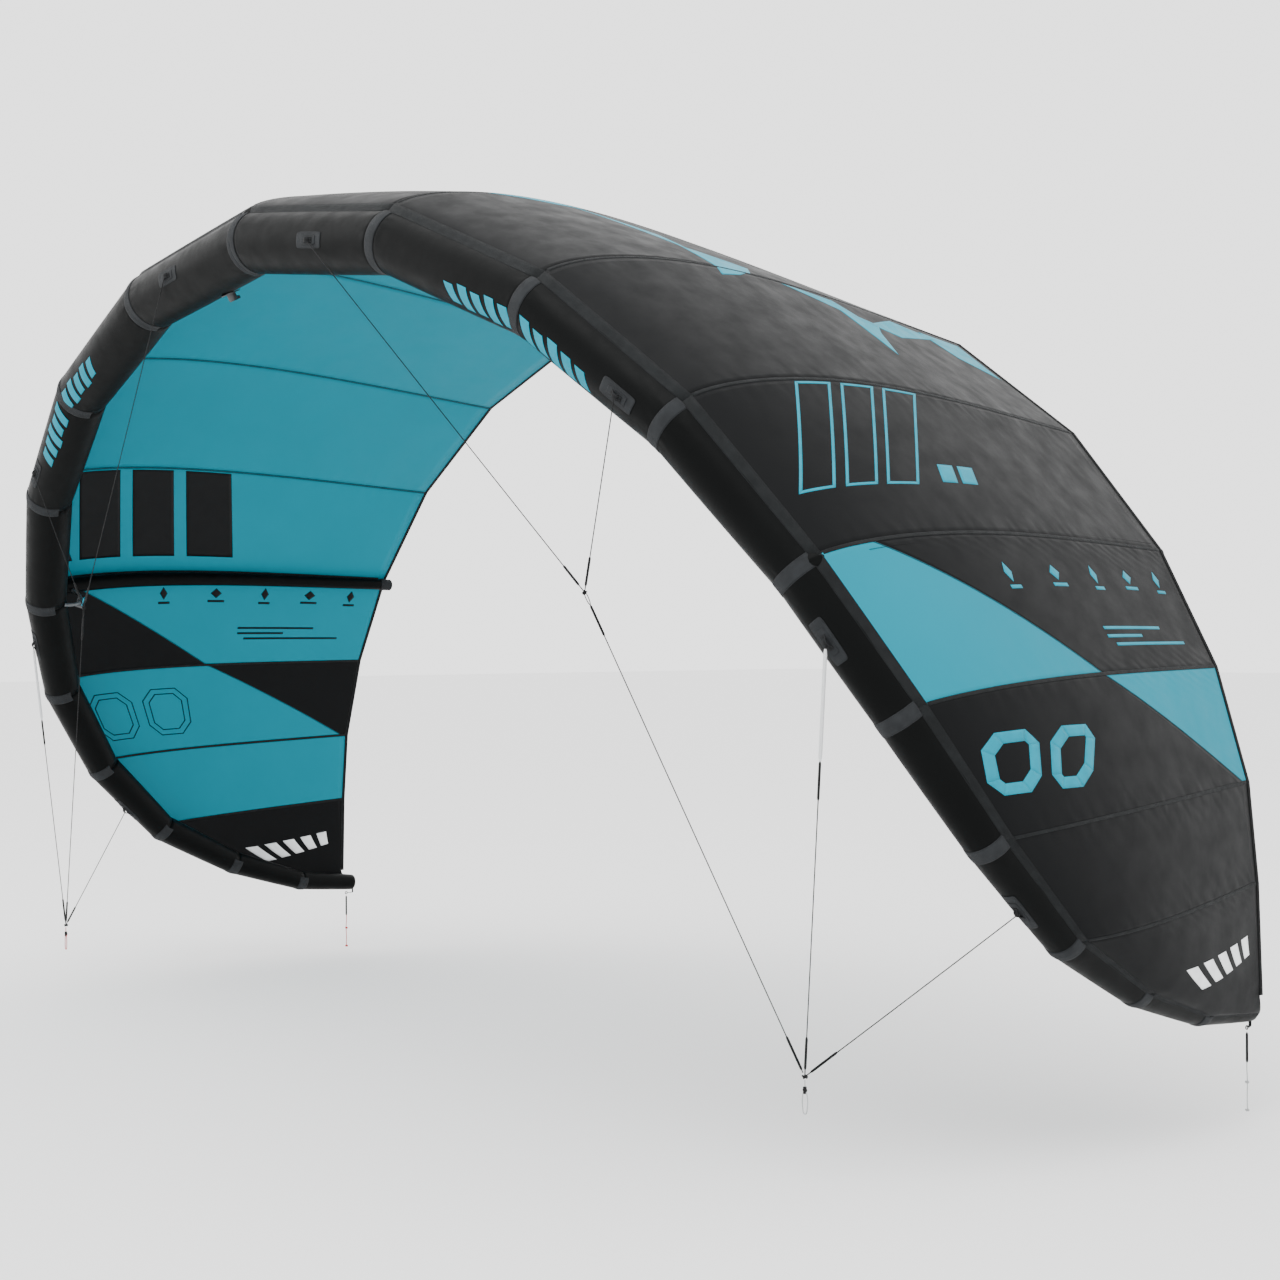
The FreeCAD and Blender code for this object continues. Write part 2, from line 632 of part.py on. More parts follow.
# ---------------------------------------------------------------- air hoses and clips

CLIP_DEPTH = HOSE_RADIUS + CLIP_GAP + CLIP_THICKNESS / 2


def hose_points(station):
    """A hose's end on the strut, its lowest point and its end on the leading edge tube."""
    centre, run = strut_axis(station, HOSE_FRACTION)
    inward = run.cross(run.cross(outward(station))).normalize()
    start = centre + inward * (strut_radius(HOSE_FRACTION) + SEAM_GAP)
    end = tube_point(station, HOSE_TUBE_ANGLE, tube_radius(station) + SEAM_GAP)
    bulge = (inward + run * 0.6).normalize()
    return start, (start + end) / 2 + bulge * HOSE_BULGE, end


def hose_curve(station):
    return Part.Arc(*hose_points(station))


def air_hose(station):
    curve = hose_curve(station)
    start = curve.value(curve.FirstParameter)
    axis = curve.tangent(curve.FirstParameter)[0]
    side = axis.cross(outward(station)).normalize()
    path = Part.Wire([curve.toShape()])
    outside = path.makePipeShell([circle_wire(start, axis, side, HOSE_RADIUS)], True, False)
    bore = path.makePipeShell([circle_wire(start, axis, side, HOSE_RADIUS - HOSE_WALL)], True, False)
    return outside.cut(bore)


def clip_frame(station):
    """Middle of the hose, its direction there, the way it bulges, and square to both."""
    curve = hose_curve(station)
    parameter = (curve.FirstParameter + curve.LastParameter) / 2
    middle = curve.value(parameter)
    along = curve.tangent(parameter)[0]
    out = (middle - curve.toShape().Curve.Center).normalize()
    return middle, along, out, along.cross(out).normalize()


def clip_pin(station):
    middle, along, out, side = clip_frame(station)
    return middle + side * (CLIP_WIDTH / 2 + CLIP_PIN_OFFSET) + out * CLIP_DEPTH, along


def clip_base(station):
    """Plate under the hose with a wall and a pin beside it."""
    middle, along, out, side = clip_frame(station)
    base = plate(middle - out * CLIP_DEPTH, along, side, CLIP_LENGTH, CLIP_WIDTH, CLIP_THICKNESS)
    wall_middle = middle + side * (CLIP_WIDTH / 2 + CLIP_PIN_OFFSET)
    pin_centre, _ = clip_pin(station)
    cheek_height = 2 * CLIP_DEPTH + CLIP_THICKNESS + CLIP_CHEEK_RISE
    for end in (-1, 1):
        shift = along * (end * (CLIP_LENGTH - CLIP_CHEEK_THICKNESS) / 2)
        cheek = plate(wall_middle + shift, side, out, CLIP_CHEEK_WIDTH, cheek_height, CLIP_CHEEK_THICKNESS)
        foot_middle = middle + shift * CLIP_FOOT_SHARE - out * CLIP_DEPTH + side * (CLIP_WIDTH / 2)
        base = base.fuse(cheek).fuse(plate(foot_middle, side, out, *CLIP_FOOT_SIZE))
    half = along * (CLIP_LENGTH / 2 - 1)
    return base.fuse(rod(pin_centre - half, pin_centre + half, CLIP_PIN_RADIUS))


def clip_lever(station):
    """Lever that presses the hose flat when it is shut."""
    middle, along, out, side = clip_frame(station)
    pin_centre, _ = clip_pin(station)
    length = CLIP_LENGTH - 2 * (CLIP_CHEEK_THICKNESS + PIN_CLEARANCE)
    centre = middle + out * CLIP_DEPTH + side * (LEVER_OVERHANG / 4)
    lever = plate(centre, along, side, length, CLIP_WIDTH + LEVER_OVERHANG, CLIP_THICKNESS)
    half = along * (length / 2)
    lever = lever.fuse(rod(pin_centre - half, pin_centre + half, CLIP_PIN_RADIUS + LEVER_BARREL_WALL))
    half = along * CLIP_LENGTH
    return lever.cut(rod(pin_centre - half, pin_centre + half, CLIP_PIN_RADIUS + PIN_CLEARANCE))


# ---------------------------------------------------------------- write every node

os.makedirs("parts", exist_ok=True)

middle_segment = leading_segment(VALVE_SEGMENT)
holed_segment = mirrored(middle_segment).cut(valve_hole(COLLAR_RADIUS + SEAM_GAP))
save(Part.makeCompound([middle_segment, holed_segment]), "leading_edge_segment_1_pair")
for segment in range(VALVE_SEGMENT + 1, STATIONS - 1):
    save_pair(leading_segment(segment), f"leading_edge_segment_{segment}_pair")
save_pair(closed_tip_segment(), f"leading_edge_segment_{STATIONS - 1}_pair")

for number in range(1, PANELS + 1):
    panel = canopy_panel(number)
    save(panel, f"canopy_panel_right_{number}")
    save(mirrored(panel), f"canopy_panel_left_{number}")
save(trailing_hem(), "trailing_edge_hem")

side_strut = strut_sleeve(STRUT_STATIONS[1])
side_bladder = strut_bladder(STRUT_STATIONS[1])
save(strut_sleeve(STRUT_STATIONS[0]), "strut_centre")
save(side_strut, "strut_right")
save(mirrored(side_strut), "strut_left")
long_bladder = leading_bladder().cut(valve_hole(COLLAR_RADIUS - COLLAR_WALL))
save(Part.makeCompound([long_bladder, strut_bladder(STRUT_STATIONS[0]), side_bladder,
                        mirrored(side_bladder)]), "bladders")

bands = [seam_band(station) for station in range(1, STATIONS - 1)]
save(Part.makeCompound([seam_band(0)] + bands + [mirrored(band) for band in bands]), "seam_bands")

tabs = [tab_shape(name) for name in TAB_PLACES] + [tip_webbing()]
save(Part.makeCompound(tabs + [mirrored(tab) for tab in tabs]), "webbing_tabs")

bridle = {f"bridle_line_{name}": leg_line(name) for name in TAB_PLACES}
bridle["bridle_upper_knot"] = upper_knot()
bridle["bridle_lower_knot"] = lower_knot()
bridle["bridle_link_line"] = link_line()
bridle["bridle_link_fittings"] = link_fittings()
bridle["front_line_loop"] = front_loop()
bridle["rear_pigtail"] = rear_pigtail()
for node, shape in bridle.items():
    save(shape, node + "_right")
    save(mirrored(shape), node + "_left")

save(valve_body(), "inflation_valve_body")
save(valve_flap(), "inflation_valve_flap")
save(valve_cap(), "inflation_valve_cap")

hoses = [air_hose(station) for station in STRUT_STATIONS]
bases = [clip_base(station) for station in STRUT_STATIONS]
save(Part.makeCompound(hoses + bases + [mirrored(hoses[1]), mirrored(bases[1])]), "air_hoses_and_clip_bases")
save(clip_lever(STRUT_STATIONS[0]), "hose_clip_lever_centre")
save(clip_lever(STRUT_STATIONS[1]), "hose_clip_lever_right")
save(mirrored(clip_lever(STRUT_STATIONS[1])), "hose_clip_lever_left")
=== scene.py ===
import math
import bpy
import bmesh
import numpy as np
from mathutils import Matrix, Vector


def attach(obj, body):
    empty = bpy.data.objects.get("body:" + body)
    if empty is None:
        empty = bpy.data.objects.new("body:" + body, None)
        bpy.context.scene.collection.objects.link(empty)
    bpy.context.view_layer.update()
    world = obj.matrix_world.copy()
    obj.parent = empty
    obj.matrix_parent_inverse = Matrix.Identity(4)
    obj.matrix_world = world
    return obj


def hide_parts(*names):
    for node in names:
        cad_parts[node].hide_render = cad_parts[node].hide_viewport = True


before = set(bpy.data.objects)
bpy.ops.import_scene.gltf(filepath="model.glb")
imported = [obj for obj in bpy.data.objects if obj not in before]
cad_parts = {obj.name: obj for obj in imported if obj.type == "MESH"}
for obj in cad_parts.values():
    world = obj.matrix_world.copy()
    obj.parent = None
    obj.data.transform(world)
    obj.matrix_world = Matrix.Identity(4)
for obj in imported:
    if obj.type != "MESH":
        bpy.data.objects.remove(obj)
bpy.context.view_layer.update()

# Looks of an inflatable kitesurf kite. Metres and degrees; the frame's own axes.
# Everything is worked out for the right wing, x > 0, and mirrored for the left one.
SIDES = {"right": 1, "left": -1}

# ---- layout of the wing, as in the part ----
SEGMENT_LENGTH = [0.630, 0.570, 0.500, 0.440, 0.370, 0.340, 0.330, 0.310, 0.280, 0.220]
SEGMENT_DROOP = [7.5, 22.5, 36.5, 50.5, 62.5, 75, 87, 99, 107, 115]
SEGMENT_SWEEP = [2, 4, 9, 15, 21.5, 33.5, 46, 62.5, 72, 84]
TUBE_RADIUS = 0.083
TIP_TUBE_RADIUS = 0.0275
TUBE_TAPER_POWER = 1.9
TRAILING_LENGTH = [0.590, 0.530, 0.480, 0.420, 0.335, 0.295, 0.245, 0.270]
TRAILING_DROOP = [5.5, 21, 34.5, 48.5, 60.5, 72, 84, 88]
CENTRE_CHORD = 1.556
TRAILING_START_Z = -0.013
PANELS = 8
TIP_RIBS = [7, 8, 9, 10]
CAMBER = 0.063
CAMBER_POWER = 0.62
SEAM_ANGLE_MIDDLE = 21.0
SEAM_ANGLE_TIP = -10.0
LAST_MIDDLE_STATION = 4
SEAM_GAP = 0.001
CANOPY_MIDDLE = 0.001          # from the rib's curve to the middle of the cloth
STRUT_STATIONS = {"centre": 0, "right": 4, "left": 4}
STRUT_RADIUS_FRONT = 0.027
STRUT_RADIUS_REAR = 0.0185
STRUT_OVERHANG = 0.024
TAB_PLACES = {"a": (1, 0.585, 92), "b": (3, 0.735, 94), "c": (5, 0.42, 92), "d": (7, 0.53, 96)}
TAB_STAND_OFF = 0.009
UPPER_KNOT = np.array([1.251, 0.111, -0.956])
LOWER_KNOT = np.array([1.770, 0.297, -2.009])
PIGTAIL_TOP = np.array([2.011, 1.556, -2.019])
PIGTAIL_LENGTH = 0.197
PIGTAIL_KNOT_DROP = 0.128
LINE_DIAMETER = 0.0026
WHIPPING_RADIUS = 0.0029
WHIPPING_CLEAR = 0.016         # how far a whipping starts from its knot
LEG_A_CLEAR = 0.024            # leg a's stays off the link's eye as they swing
LEG_WHIPPING_END = 0.088
BAND_CLOTH = 0.0006
PATCH_CLOTH = 0.0008

# ---- cloth ----
CLOTH_THICKNESS = 0.0008
BILLOW = 0.012                 # height of a panel's crown over its width
# Share of the tip's chord over which it stops following the tube's kinks.
TIP_BLEND = 0.18
SLEEVE_WALL = 0.0006
SLEEVE_SWELL = 0.0012
BAND_WIDTH = 0.036
BAND_END_ANGLE = 185.0
TAPE_HALF_WIDTH = 0.0045
TAPE_THICKNESS = 0.0018
PRINT_THICKNESS = 0.0014
PRINT_STEP = 0.012
# Where the two colours meet on panels 5 and 6:
# share of the chord at the panel's inner and outer rib.
COLOUR_SPLIT = {5: (0.10, 0.51), 6: (0.51, 0.985)}


# ---------------------------------------------------------------- layout of the wing

def unit(vector):
    return vector / np.linalg.norm(vector, axis=-1, keepdims=True)


def direction(droop, sweep):
    d, s = math.radians(droop), math.radians(sweep)
    return np.array([math.cos(s) * math.cos(d), math.sin(s), -math.cos(s) * math.sin(d)])


def leading_stations():
    points = [np.zeros(3)]
    for length, droop, sweep in zip(SEGMENT_LENGTH, SEGMENT_DROOP, SEGMENT_SWEEP):
        points.append(points[-1] + direction(droop, sweep) * length)
    return np.array(points)


def trailing_stations():
    points = [np.array([0, CENTRE_CHORD, TRAILING_START_Z])]
    for length, droop in zip(TRAILING_LENGTH, TRAILING_DROOP):
        points.append(points[-1] + direction(droop, 0) * length)
    tip, before = points.pop(), points[-1]
    return np.array(points + [before + (tip - before) * (step / 3) for step in (1, 2, 3)])


LEADING = leading_stations()
TRAILING = trailing_stations()
STATIONS = len(LEADING)
RUNS = unit(np.diff(LEADING, axis=0))
TANGENT = np.vstack([[1, 0, 0], unit(RUNS[:-1] + RUNS[1:]), RUNS[-1]])
CHORD = np.vstack([(TRAILING - LEADING)[:-1], (TRAILING - LEADING)[-2]])
OUTWARD = unit(np.cross(TANGENT, CHORD))
FORWARD = unit(np.cross(TANGENT, OUTWARD))
ARC_SHARE = np.concatenate([[0], np.cumsum(SEGMENT_LENGTH)]) / sum(SEGMENT_LENGTH)
RADIUS = TUBE_RADIUS - (TUBE_RADIUS - TIP_TUBE_RADIUS) * ARC_SHARE ** TUBE_TAPER_POWER


def tube_point(station, angle, radius):
    """Point round the tube; 0 is the outermost line, 90 dead ahead, 180 the innermost."""
    a = np.radians(np.asarray(angle, float))[..., None]
    ray = OUTWARD[station] * np.cos(a) + FORWARD[station] * np.sin(a)
    return LEADING[station] + ray * np.asarray(radius, float)[..., None]


def segment_point(segment, share, angle, extra):
    """Point on a segment's skin, or a distance outside it."""
    inner = tube_point(segment - 1, angle, RADIUS[segment - 1] + extra)
    outer = tube_point(segment, angle, RADIUS[segment] + extra)
    return inner + (outer - inner) * np.asarray(share, float)[..., None]


def seam_angle(station):
    past = max(0, station - LAST_MIDDLE_STATION) / (STATIONS - 1 - LAST_MIDDLE_STATION)
    return SEAM_ANGLE_MIDDLE + (SEAM_ANGLE_TIP - SEAM_ANGLE_MIDDLE) * math.sqrt(past)


def rib_point(station, v):
    """Canopy's inner face along a rib: v is 0 at the tube's seam and 1 at the trailing edge."""
    v = np.asarray(v, float)[..., None]
    start = tube_point(station, seam_angle(station), RADIUS[station] + SEAM_GAP)
    run = TRAILING[station] - start
    rise = CAMBER * np.linalg.norm(run) * np.sin(math.pi * v ** CAMBER_POWER)
    return start + run * v + OUTWARD[station] * rise


def smooth(x):
    x = np.clip(x, 0, 1)
    return x * x * (3 - 2 * x)


def through_ribs(rows, place):
    """Smooth curve through evenly numbered ribs, at place counted in ribs."""
    total = np.zeros(np.broadcast(rows[0][..., 0], place).shape + (3,))
    for i, row in enumerate(rows):
        weight = np.ones_like(place)
        for j in range(len(rows)):
            if j != i:
                weight = weight * (place - j) / (i - j)
        total = total + row * weight[..., None]
    return total


def canopy_point(bay, u, v):
    """Middle of the cloth.

    u runs across the panel towards the tip, v from the tube to the trailing edge.
    """
    u, v = np.broadcast_arrays(np.asarray(u, float), np.asarray(v, float))
    ribs = TIP_RIBS if bay == PANELS else [bay - 1, bay]
    rows = [rib_point(k, v) + OUTWARD[k] * CANOPY_MIDDLE for k in ribs]
    place = u * (len(ribs) - 1)
    low = np.clip(place.astype(int), 0, len(ribs) - 2)
    part = (place - low)[..., None]
    stacked, out = np.stack(rows), OUTWARD[ribs]
    pick = np.arange(u.size)
    flat = stacked.reshape(len(ribs), -1, 3)
    before = flat[low.ravel(), pick].reshape(u.shape + (3,))
    after = flat[low.ravel() + 1, pick].reshape(u.shape + (3,))
    point = before + (after - before) * part
    if bay == PANELS:
        keep = smooth(v / TIP_BLEND)[..., None]
        point = point + (through_ribs(rows, place) - point) * keep
    normal = unit(out[low] + (out[low + 1] - out[low]) * part)
    width = np.linalg.norm(rows[-1] - rows[0], axis=-1)
    crown = BILLOW * width * 4 * u * (1 - u) * np.sin(math.pi * v ** CAMBER_POWER)
    return point + normal * crown[..., None]


# ---------------------------------------------------------------- meshes

class Pile:
    """Grids of quads gathered into one mesh.

    Each grid carries two maps in metres: "cloth" lies along and across the weave, and
    "seam" holds the distance to the nearest seam or edge and the distance along it.
    """

    def __init__(self):
        self.points, self.faces, self.cloth, self.seam = [], [], [], []
        self.count = 0

    def grid(self, points, cloth, seam, closed=False, capped=False):
        rows, columns = points.shape[:2]
        wide = columns if closed else columns - 1
        r, c = np.meshgrid(np.arange(rows - 1), np.arange(wide), indexing="ij")
        r, c = r.ravel(), c.ravel()
        corners = [(r, c), (r, c + 1), (r + 1, c + 1), (r + 1, c)]
        index = np.stack([a * columns + b % columns for a, b in corners], 1) + self.count
        self.faces += index.tolist()
        self.cloth.append(np.stack([cloth[a, b] for a, b in corners], 1).reshape(-1, 2))
        self.seam.append(np.stack([seam[a, b] for a, b in corners], 1).reshape(-1, 2))
        if capped:
            for row in (0, rows - 1):
                self.faces.append((row * columns + np.arange(columns) + self.count).tolist())
                self.cloth.append(cloth[row, :columns])
                self.seam.append(seam[row, :columns])
        self.points.append(points.reshape(-1, 3))
        self.count += rows * columns

    def open_hole(self, centre, radius):
        """Drops the quads whose middles lie near a point."""
        faces = np.array(self.faces)
        middles = np.vstack(self.points)[faces].mean(1)
        keep = np.linalg.norm(middles - centre, axis=1) > radius
        self.faces = faces[keep].tolist()
        self.cloth = [np.vstack(self.cloth).reshape(-1, 4, 2)[keep].reshape(-1, 2)]
        self.seam = [np.vstack(self.seam).reshape(-1, 4, 2)[keep].reshape(-1, 2)]

    def make(self, name, material, side=1, body="frame", thickness=0.0, offset=0.0):
        """One object that rides on a body; thickness gives an open sheet its two faces."""
        mesh = bpy.data.meshes.new(name)
        mesh.from_pydata((np.vstack(self.points) * (side, 1, 1)).tolist(), [], self.faces)
        for layer, values in (("cloth", self.cloth), ("seam", self.seam)):
            data = mesh.uv_layers.new(name=layer).data
            data.foreach_set("uv", np.vstack(values).astype(np.float32).ravel())
        mesh.shade_smooth()
        mesh.materials.append(material)
        edit = bmesh.new()
        edit.from_mesh(mesh)
        bmesh.ops.recalc_face_normals(edit, faces=edit.faces)
        edit.to_mesh(mesh)
        edit.free()
        made = bpy.data.objects.new(name, mesh)
        bpy.context.scene.collection.objects.link(made)
        if thickness:
            solid = made.modifiers.new("thickness", "SOLIDIFY")
            solid.thickness = thickness
            solid.offset = offset
        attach(made, body)
        return made


def lengths_along(points, axis):
    """Distance walked along a grid of points in one direction, from 0."""
    steps = np.linalg.norm(np.diff(points, axis=axis), axis=-1)
    start = np.zeros_like(np.take(steps, [0], axis=axis))
    return np.concatenate([start, np.cumsum(steps, axis=axis)], axis=axis)


def sheet_maps(points):
    """Both maps of an open grid: rows run along its long seams, columns across."""
    along, across = lengths_along(points, 0), lengths_along(points, 1)
    edge = np.minimum(across, across[:, -1:] - across)
    return np.stack([along, across], -1), np.stack([edge, along], -1)


def tube_rings(centres, radii, count, start=None):
    """Rings of points round a path, square to it, without twist."""
    centres, radii = np.asarray(centres, float), np.asarray(radii, float)
    run = unit(np.gradient(centres, axis=0))
    first = np.array([0.0, 0, 1]) if start is None else np.asarray(start, float)
    if abs(run[0] @ unit(first)) > 0.9:
        first = np.array([1.0, 0, 0])
    sides = [unit(first - run[0] * (first @ run[0]))]
    for step in run[1:]:
        sides.append(unit(sides[-1] - step * (sides[-1] @ step)))
    side = np.array(sides)
    turn = np.linspace(0, 2 * math.pi, count, endpoint=False)[None, :, None]
    ray = side[:, None] * np.cos(turn) + np.cross(run, side)[:, None] * np.sin(turn)
    return centres[:, None] + ray * radii[:, None, None]


def tube_maps(rings):
    """Maps of a closed tube of rings; its seams are its two ends."""
    middle = rings.mean(1)
    along = lengths_along(middle, 0)
    girth = np.linalg.norm(rings[:, 1] - rings[:, 0], axis=-1) * rings.shape[1]
    share = np.linspace(0, 1, rings.shape[1] + 1)
    across = girth[:, None] * share
    x = np.broadcast_to(along[:, None], across.shape)
    edge = np.minimum(x, along[-1] - x)
    return np.stack([x, across], -1), np.stack([edge, across], -1)


def add_tube(pile, centres, radii, count=16, start=None, capped=True):
    rings = tube_rings(centres, radii, count, start)
    pile.grid(rings, *tube_maps(rings), closed=True, capped=capped)


# ---------------------------------------------------------------- materials

def srgb(red, green, blue):
    """Colour as a screen shows it, 0 to 255, turned into the shader's linear colour."""
    def linear(value):
        value /= 255
        return value / 12.92 if value <= 0.04045 else ((value + 0.055) / 1.055) ** 2.4
    return (linear(red), linear(green), linear(blue), 1.0)


class Shader:
    """A Principled material and short names for the nodes that feed it."""

    def __init__(self, name, colour, **sockets):
        self.material = bpy.data.materials.new(name)
        self.material.use_nodes = True
        self.tree = self.material.node_tree
        self.surface = self.tree.nodes["Principled BSDF"]
        self.colour = colour
        self.set("Base Color", colour)
        for socket, value in sockets.items():
            self.set(socket.replace("_", " "), value)

    def set(self, socket, value):
        if isinstance(value, bpy.types.NodeSocket):
            self.tree.links.new(value, self.surface.inputs[socket])
        else:
            self.surface.inputs[socket].default_value = value

    def node(self, kind, inputs=(), output=0, **settings):
        made = self.tree.nodes.new("ShaderNode" + kind)
        for name, value in settings.items():
            setattr(made, name, value)
        for socket, value in dict(inputs).items():
            if isinstance(value, bpy.types.NodeSocket):
                self.tree.links.new(value, made.inputs[socket])
            else:
                made.inputs[socket].default_value = value
        return made.outputs[output]

    def math(self, operation, a, b=0.0, c=0.0):
        return self.node("Math", {0: a, 1: b, 2: c}, operation=operation)

    def map(self, layer):
        """The two numbers of one of a piece's maps."""
        both = self.node("SeparateXYZ", {0: self.node("UVMap", uv_map=layer)}).node
        return both.outputs[0], both.outputs[1]

    def place(self):
        return self.node("TexCoord", output=3)

    def noise(self, scale, detail=3.0, roughness=0.55, at=None):
        return self.node("TexNoise", {"Vector": at or self.place(), "Scale": scale,
                                      "Detail": detail, "Roughness": roughness})

    def remap(self, value, low, high, to_low, to_high):
        return self.node("MapRange", {0: value, 1: low, 2: high, 3: to_low, 4: to_high})

    def vary(self, value, amount, tint=(1.0, 1.0, 1.0)):
        """Colour that is darker where value is 0 and lighter where it is 1."""
        dark = [c * (1 - amount) for c in self.colour[:3]] + [1]
        light = [min(1, c * (1 + amount) * t) for c, t in zip(self.colour, tint)] + [1]
        return self.node("Mix", {0: value, 6: dark, 7: light}, output=2, data_type="RGBA")

    def bump(self, height, distance, strength=1.0, below=None):
        inputs = {"Height": height, "Distance": distance, "Strength": strength}
        if below is not None:
            inputs["Normal"] = below
        return self.node("Bump", inputs)

    def threads(self, pitch, x, y):
        """Height of a plain weave: 0 between threads and 1 on them."""
        turns = 2 * math.pi / pitch
        return self.math("MULTIPLY", self.math("SINE", self.math("MULTIPLY", x, turns)),
                         self.math("SINE", self.math("MULTIPLY", y, turns)))

    def grid_lines(self, pitch, x, y, width):
        """1 on the thicker threads of a ripstop grid, 0 elsewhere."""
        found = []
        for value in (x, y):
            inside = self.math("PINGPONG", value, pitch / 2)
            found.append(self.math("LESS_THAN", inside, width / 2))
        return self.math("MAXIMUM", *found)

    def stitches(self, edge, along, row=0.0024, length=0.0042, width=0.0007):
        """1 on a row of stitches that runs a little inside an edge."""
        off = self.math("ABSOLUTE", self.math("SUBTRACT", edge, row))
        on_row = self.math("LESS_THAN", off, width / 2)
        gap = self.math("GREATER_THAN", self.math("PINGPONG", along, length / 2), length * 0.13)
        return self.math("MULTIPLY", on_row, gap)

    def puckers(self, edge, along, pitch=0.052, reach=0.045):
        """Small waves in the cloth beside a seam, dying away with distance from it."""
        wander = self.math("MULTIPLY", self.noise(9.0), 0.09)
        wave = self.math("SINE", self.math("MULTIPLY", self.math("ADD", along, wander),
                                           2 * math.pi / pitch))
        fade = self.math("EXPONENT", self.math("DIVIDE", edge, -reach))
        return self.math("MULTIPLY", wave, fade)


def canopy_cloth(name, colour):
    """Coated ripstop: satin, faint grid, soft ripples along its seams."""
    s = Shader(name, colour, Sheen_Weight=0.01, Sheen_Roughness=0.5, Specular_IOR_Level=0.06)
    x, y = s.map("cloth")
    edge, along = s.map("seam")
    tone = s.noise(2.6, 4.0, 0.6)
    grid = s.grid_lines(0.005, x, y, 0.0006)
    s.set("Base Color", s.vary(s.math("ADD", s.remap(tone, 0.3, 0.7, 0.1, 0.75),
                                      s.math("MULTIPLY", grid, 0.22)), 0.05))
    s.set("Roughness", s.remap(s.noise(14.0), 0.3, 0.7, 0.42, 0.56))
    normal = s.bump(s.noise(3.2, 2.0), 0.003, 0.3)
    normal = s.bump(s.puckers(edge, along), 0.0006, 0.6, normal)
    normal = s.bump(s.math("MAXIMUM", grid, s.threads(0.0008, x, y)), 0.00003, 0.35, normal)
    s.set("Normal", normal)
    return s.material


def tube_cloth(name, colour):
    """Heavier woven polyester of the inflated tubes."""
    s = Shader(name, colour, Sheen_Weight=0.005, Sheen_Roughness=0.5, Specular_IOR_Level=0.05)
    x, y = s.map("cloth")
    edge, along = s.map("seam")
    s.set("Base Color", s.vary(s.remap(s.noise(5.0, 4.0), 0.3, 0.7, 0, 1), 0.16))
    s.set("Roughness", s.remap(s.noise(20.0), 0.3, 0.7, 0.36, 0.5))
    normal = s.bump(s.puckers(edge, along, 0.034, 0.03), 0.0012, 0.7)
    normal = s.bump(s.noise(11.0, 2.0), 0.004, 0.35, normal)
    normal = s.bump(s.threads(0.0014, x, y), 0.00005, 0.4, normal)
    s.set("Normal", normal)
    return s.material


def stitched_cloth(name, colour, thread, roughness=0.7, pitch=0.0018):
    """Tape, webbing and reinforcement: coarse weave with a stitched row inside each edge."""
    s = Shader(name, colour, Sheen_Weight=0.02, Sheen_Roughness=0.5, Specular_IOR_Level=0.1)
    x, y = s.map("cloth")
    edge, along = s.map("seam")
    seam = s.stitches(edge, along)
    worn = s.vary(s.remap(s.noise(30.0, 4.0), 0.35, 0.7, 0, 1), 0.18)
    s.set("Base Color", s.node("Mix", {0: seam, 6: worn, 7: thread}, output=2, data_type="RGBA"))
    s.set("Roughness", s.remap(s.noise(45.0), 0.3, 0.7, roughness - 0.08, roughness + 0.08))
    normal = s.bump(s.threads(pitch, x, y), 0.0003, 0.7)
    s.set("Normal", s.bump(seam, 0.0004, 0.8, normal))
    return s.material


def printed_ink(name, colour):
    """Printed graphic: a little glossier than the cloth under it, thin in places."""
    s = Shader(name, colour, Specular_IOR_Level=0.08)
    x, y = s.map("cloth")
    s.set("Base Color", s.vary(s.remap(s.noise(24.0, 5.0), 0.3, 0.7, 0, 1), 0.1))
    s.set("Roughness", s.remap(s.noise(18.0), 0.3, 0.7, 0.38, 0.5))
    s.set("Normal", s.bump(s.threads(0.0008, x, y), 0.00003, 0.35))
    return s.material


def braided_line(name, colour, pitch=0.0016):
    """Braided cord: crossing strands and a slightly fuzzy surface."""
    s = Shader(name, colour, Sheen_Weight=0.05, Sheen_Roughness=0.5, Specular_IOR_Level=0.15)
    place = s.node("SeparateXYZ", {0: s.place()}).node
    turns = 2 * math.pi / pitch
    up = s.math("MULTIPLY", s.math("ADD", place.outputs[2], place.outputs[0]), turns)
    down = s.math("MULTIPLY", s.math("SUBTRACT", place.outputs[2], place.outputs[1]), turns)
    braid = s.math("MULTIPLY", s.math("SINE", up), s.math("SINE", down))
    # Base colour follows the braid's relief: painted shade darkens the grooves between strands and a painted
    # highlight lightens the strands' crowns.
    s.set("Base Color", s.vary(s.remap(braid, -1, 1, 0, 1), 0.3))
    s.set("Roughness", s.remap(s.noise(60.0), 0.3, 0.7, 0.55, 0.75))
    s.set("Normal", s.bump(braid, 0.0004, 0.8))
    return s.material


def whipping(name, colour):
    """Thread wound tightly round a line's spliced end."""
    s = Shader(name, colour, Sheen_Weight=0.05, Sheen_Roughness=0.5, Specular_IOR_Level=0.15)
    x, _ = s.map("cloth")
    wound = s.math("SINE", s.math("MULTIPLY", x, 2 * math.pi / 0.0011))
    # Base colour follows the winding's relief: painted shade darkens the grooves between turns and a painted
    # highlight lightens the turns' crowns.
    s.set("Base Color", s.vary(s.remap(wound, -1, 1, 0, 1), 0.3))
    s.set("Roughness", s.remap(s.noise(70.0), 0.3, 0.7, 0.5, 0.7))
    s.set("Normal", s.bump(wound, 0.0003, 0.8))
    return s.material


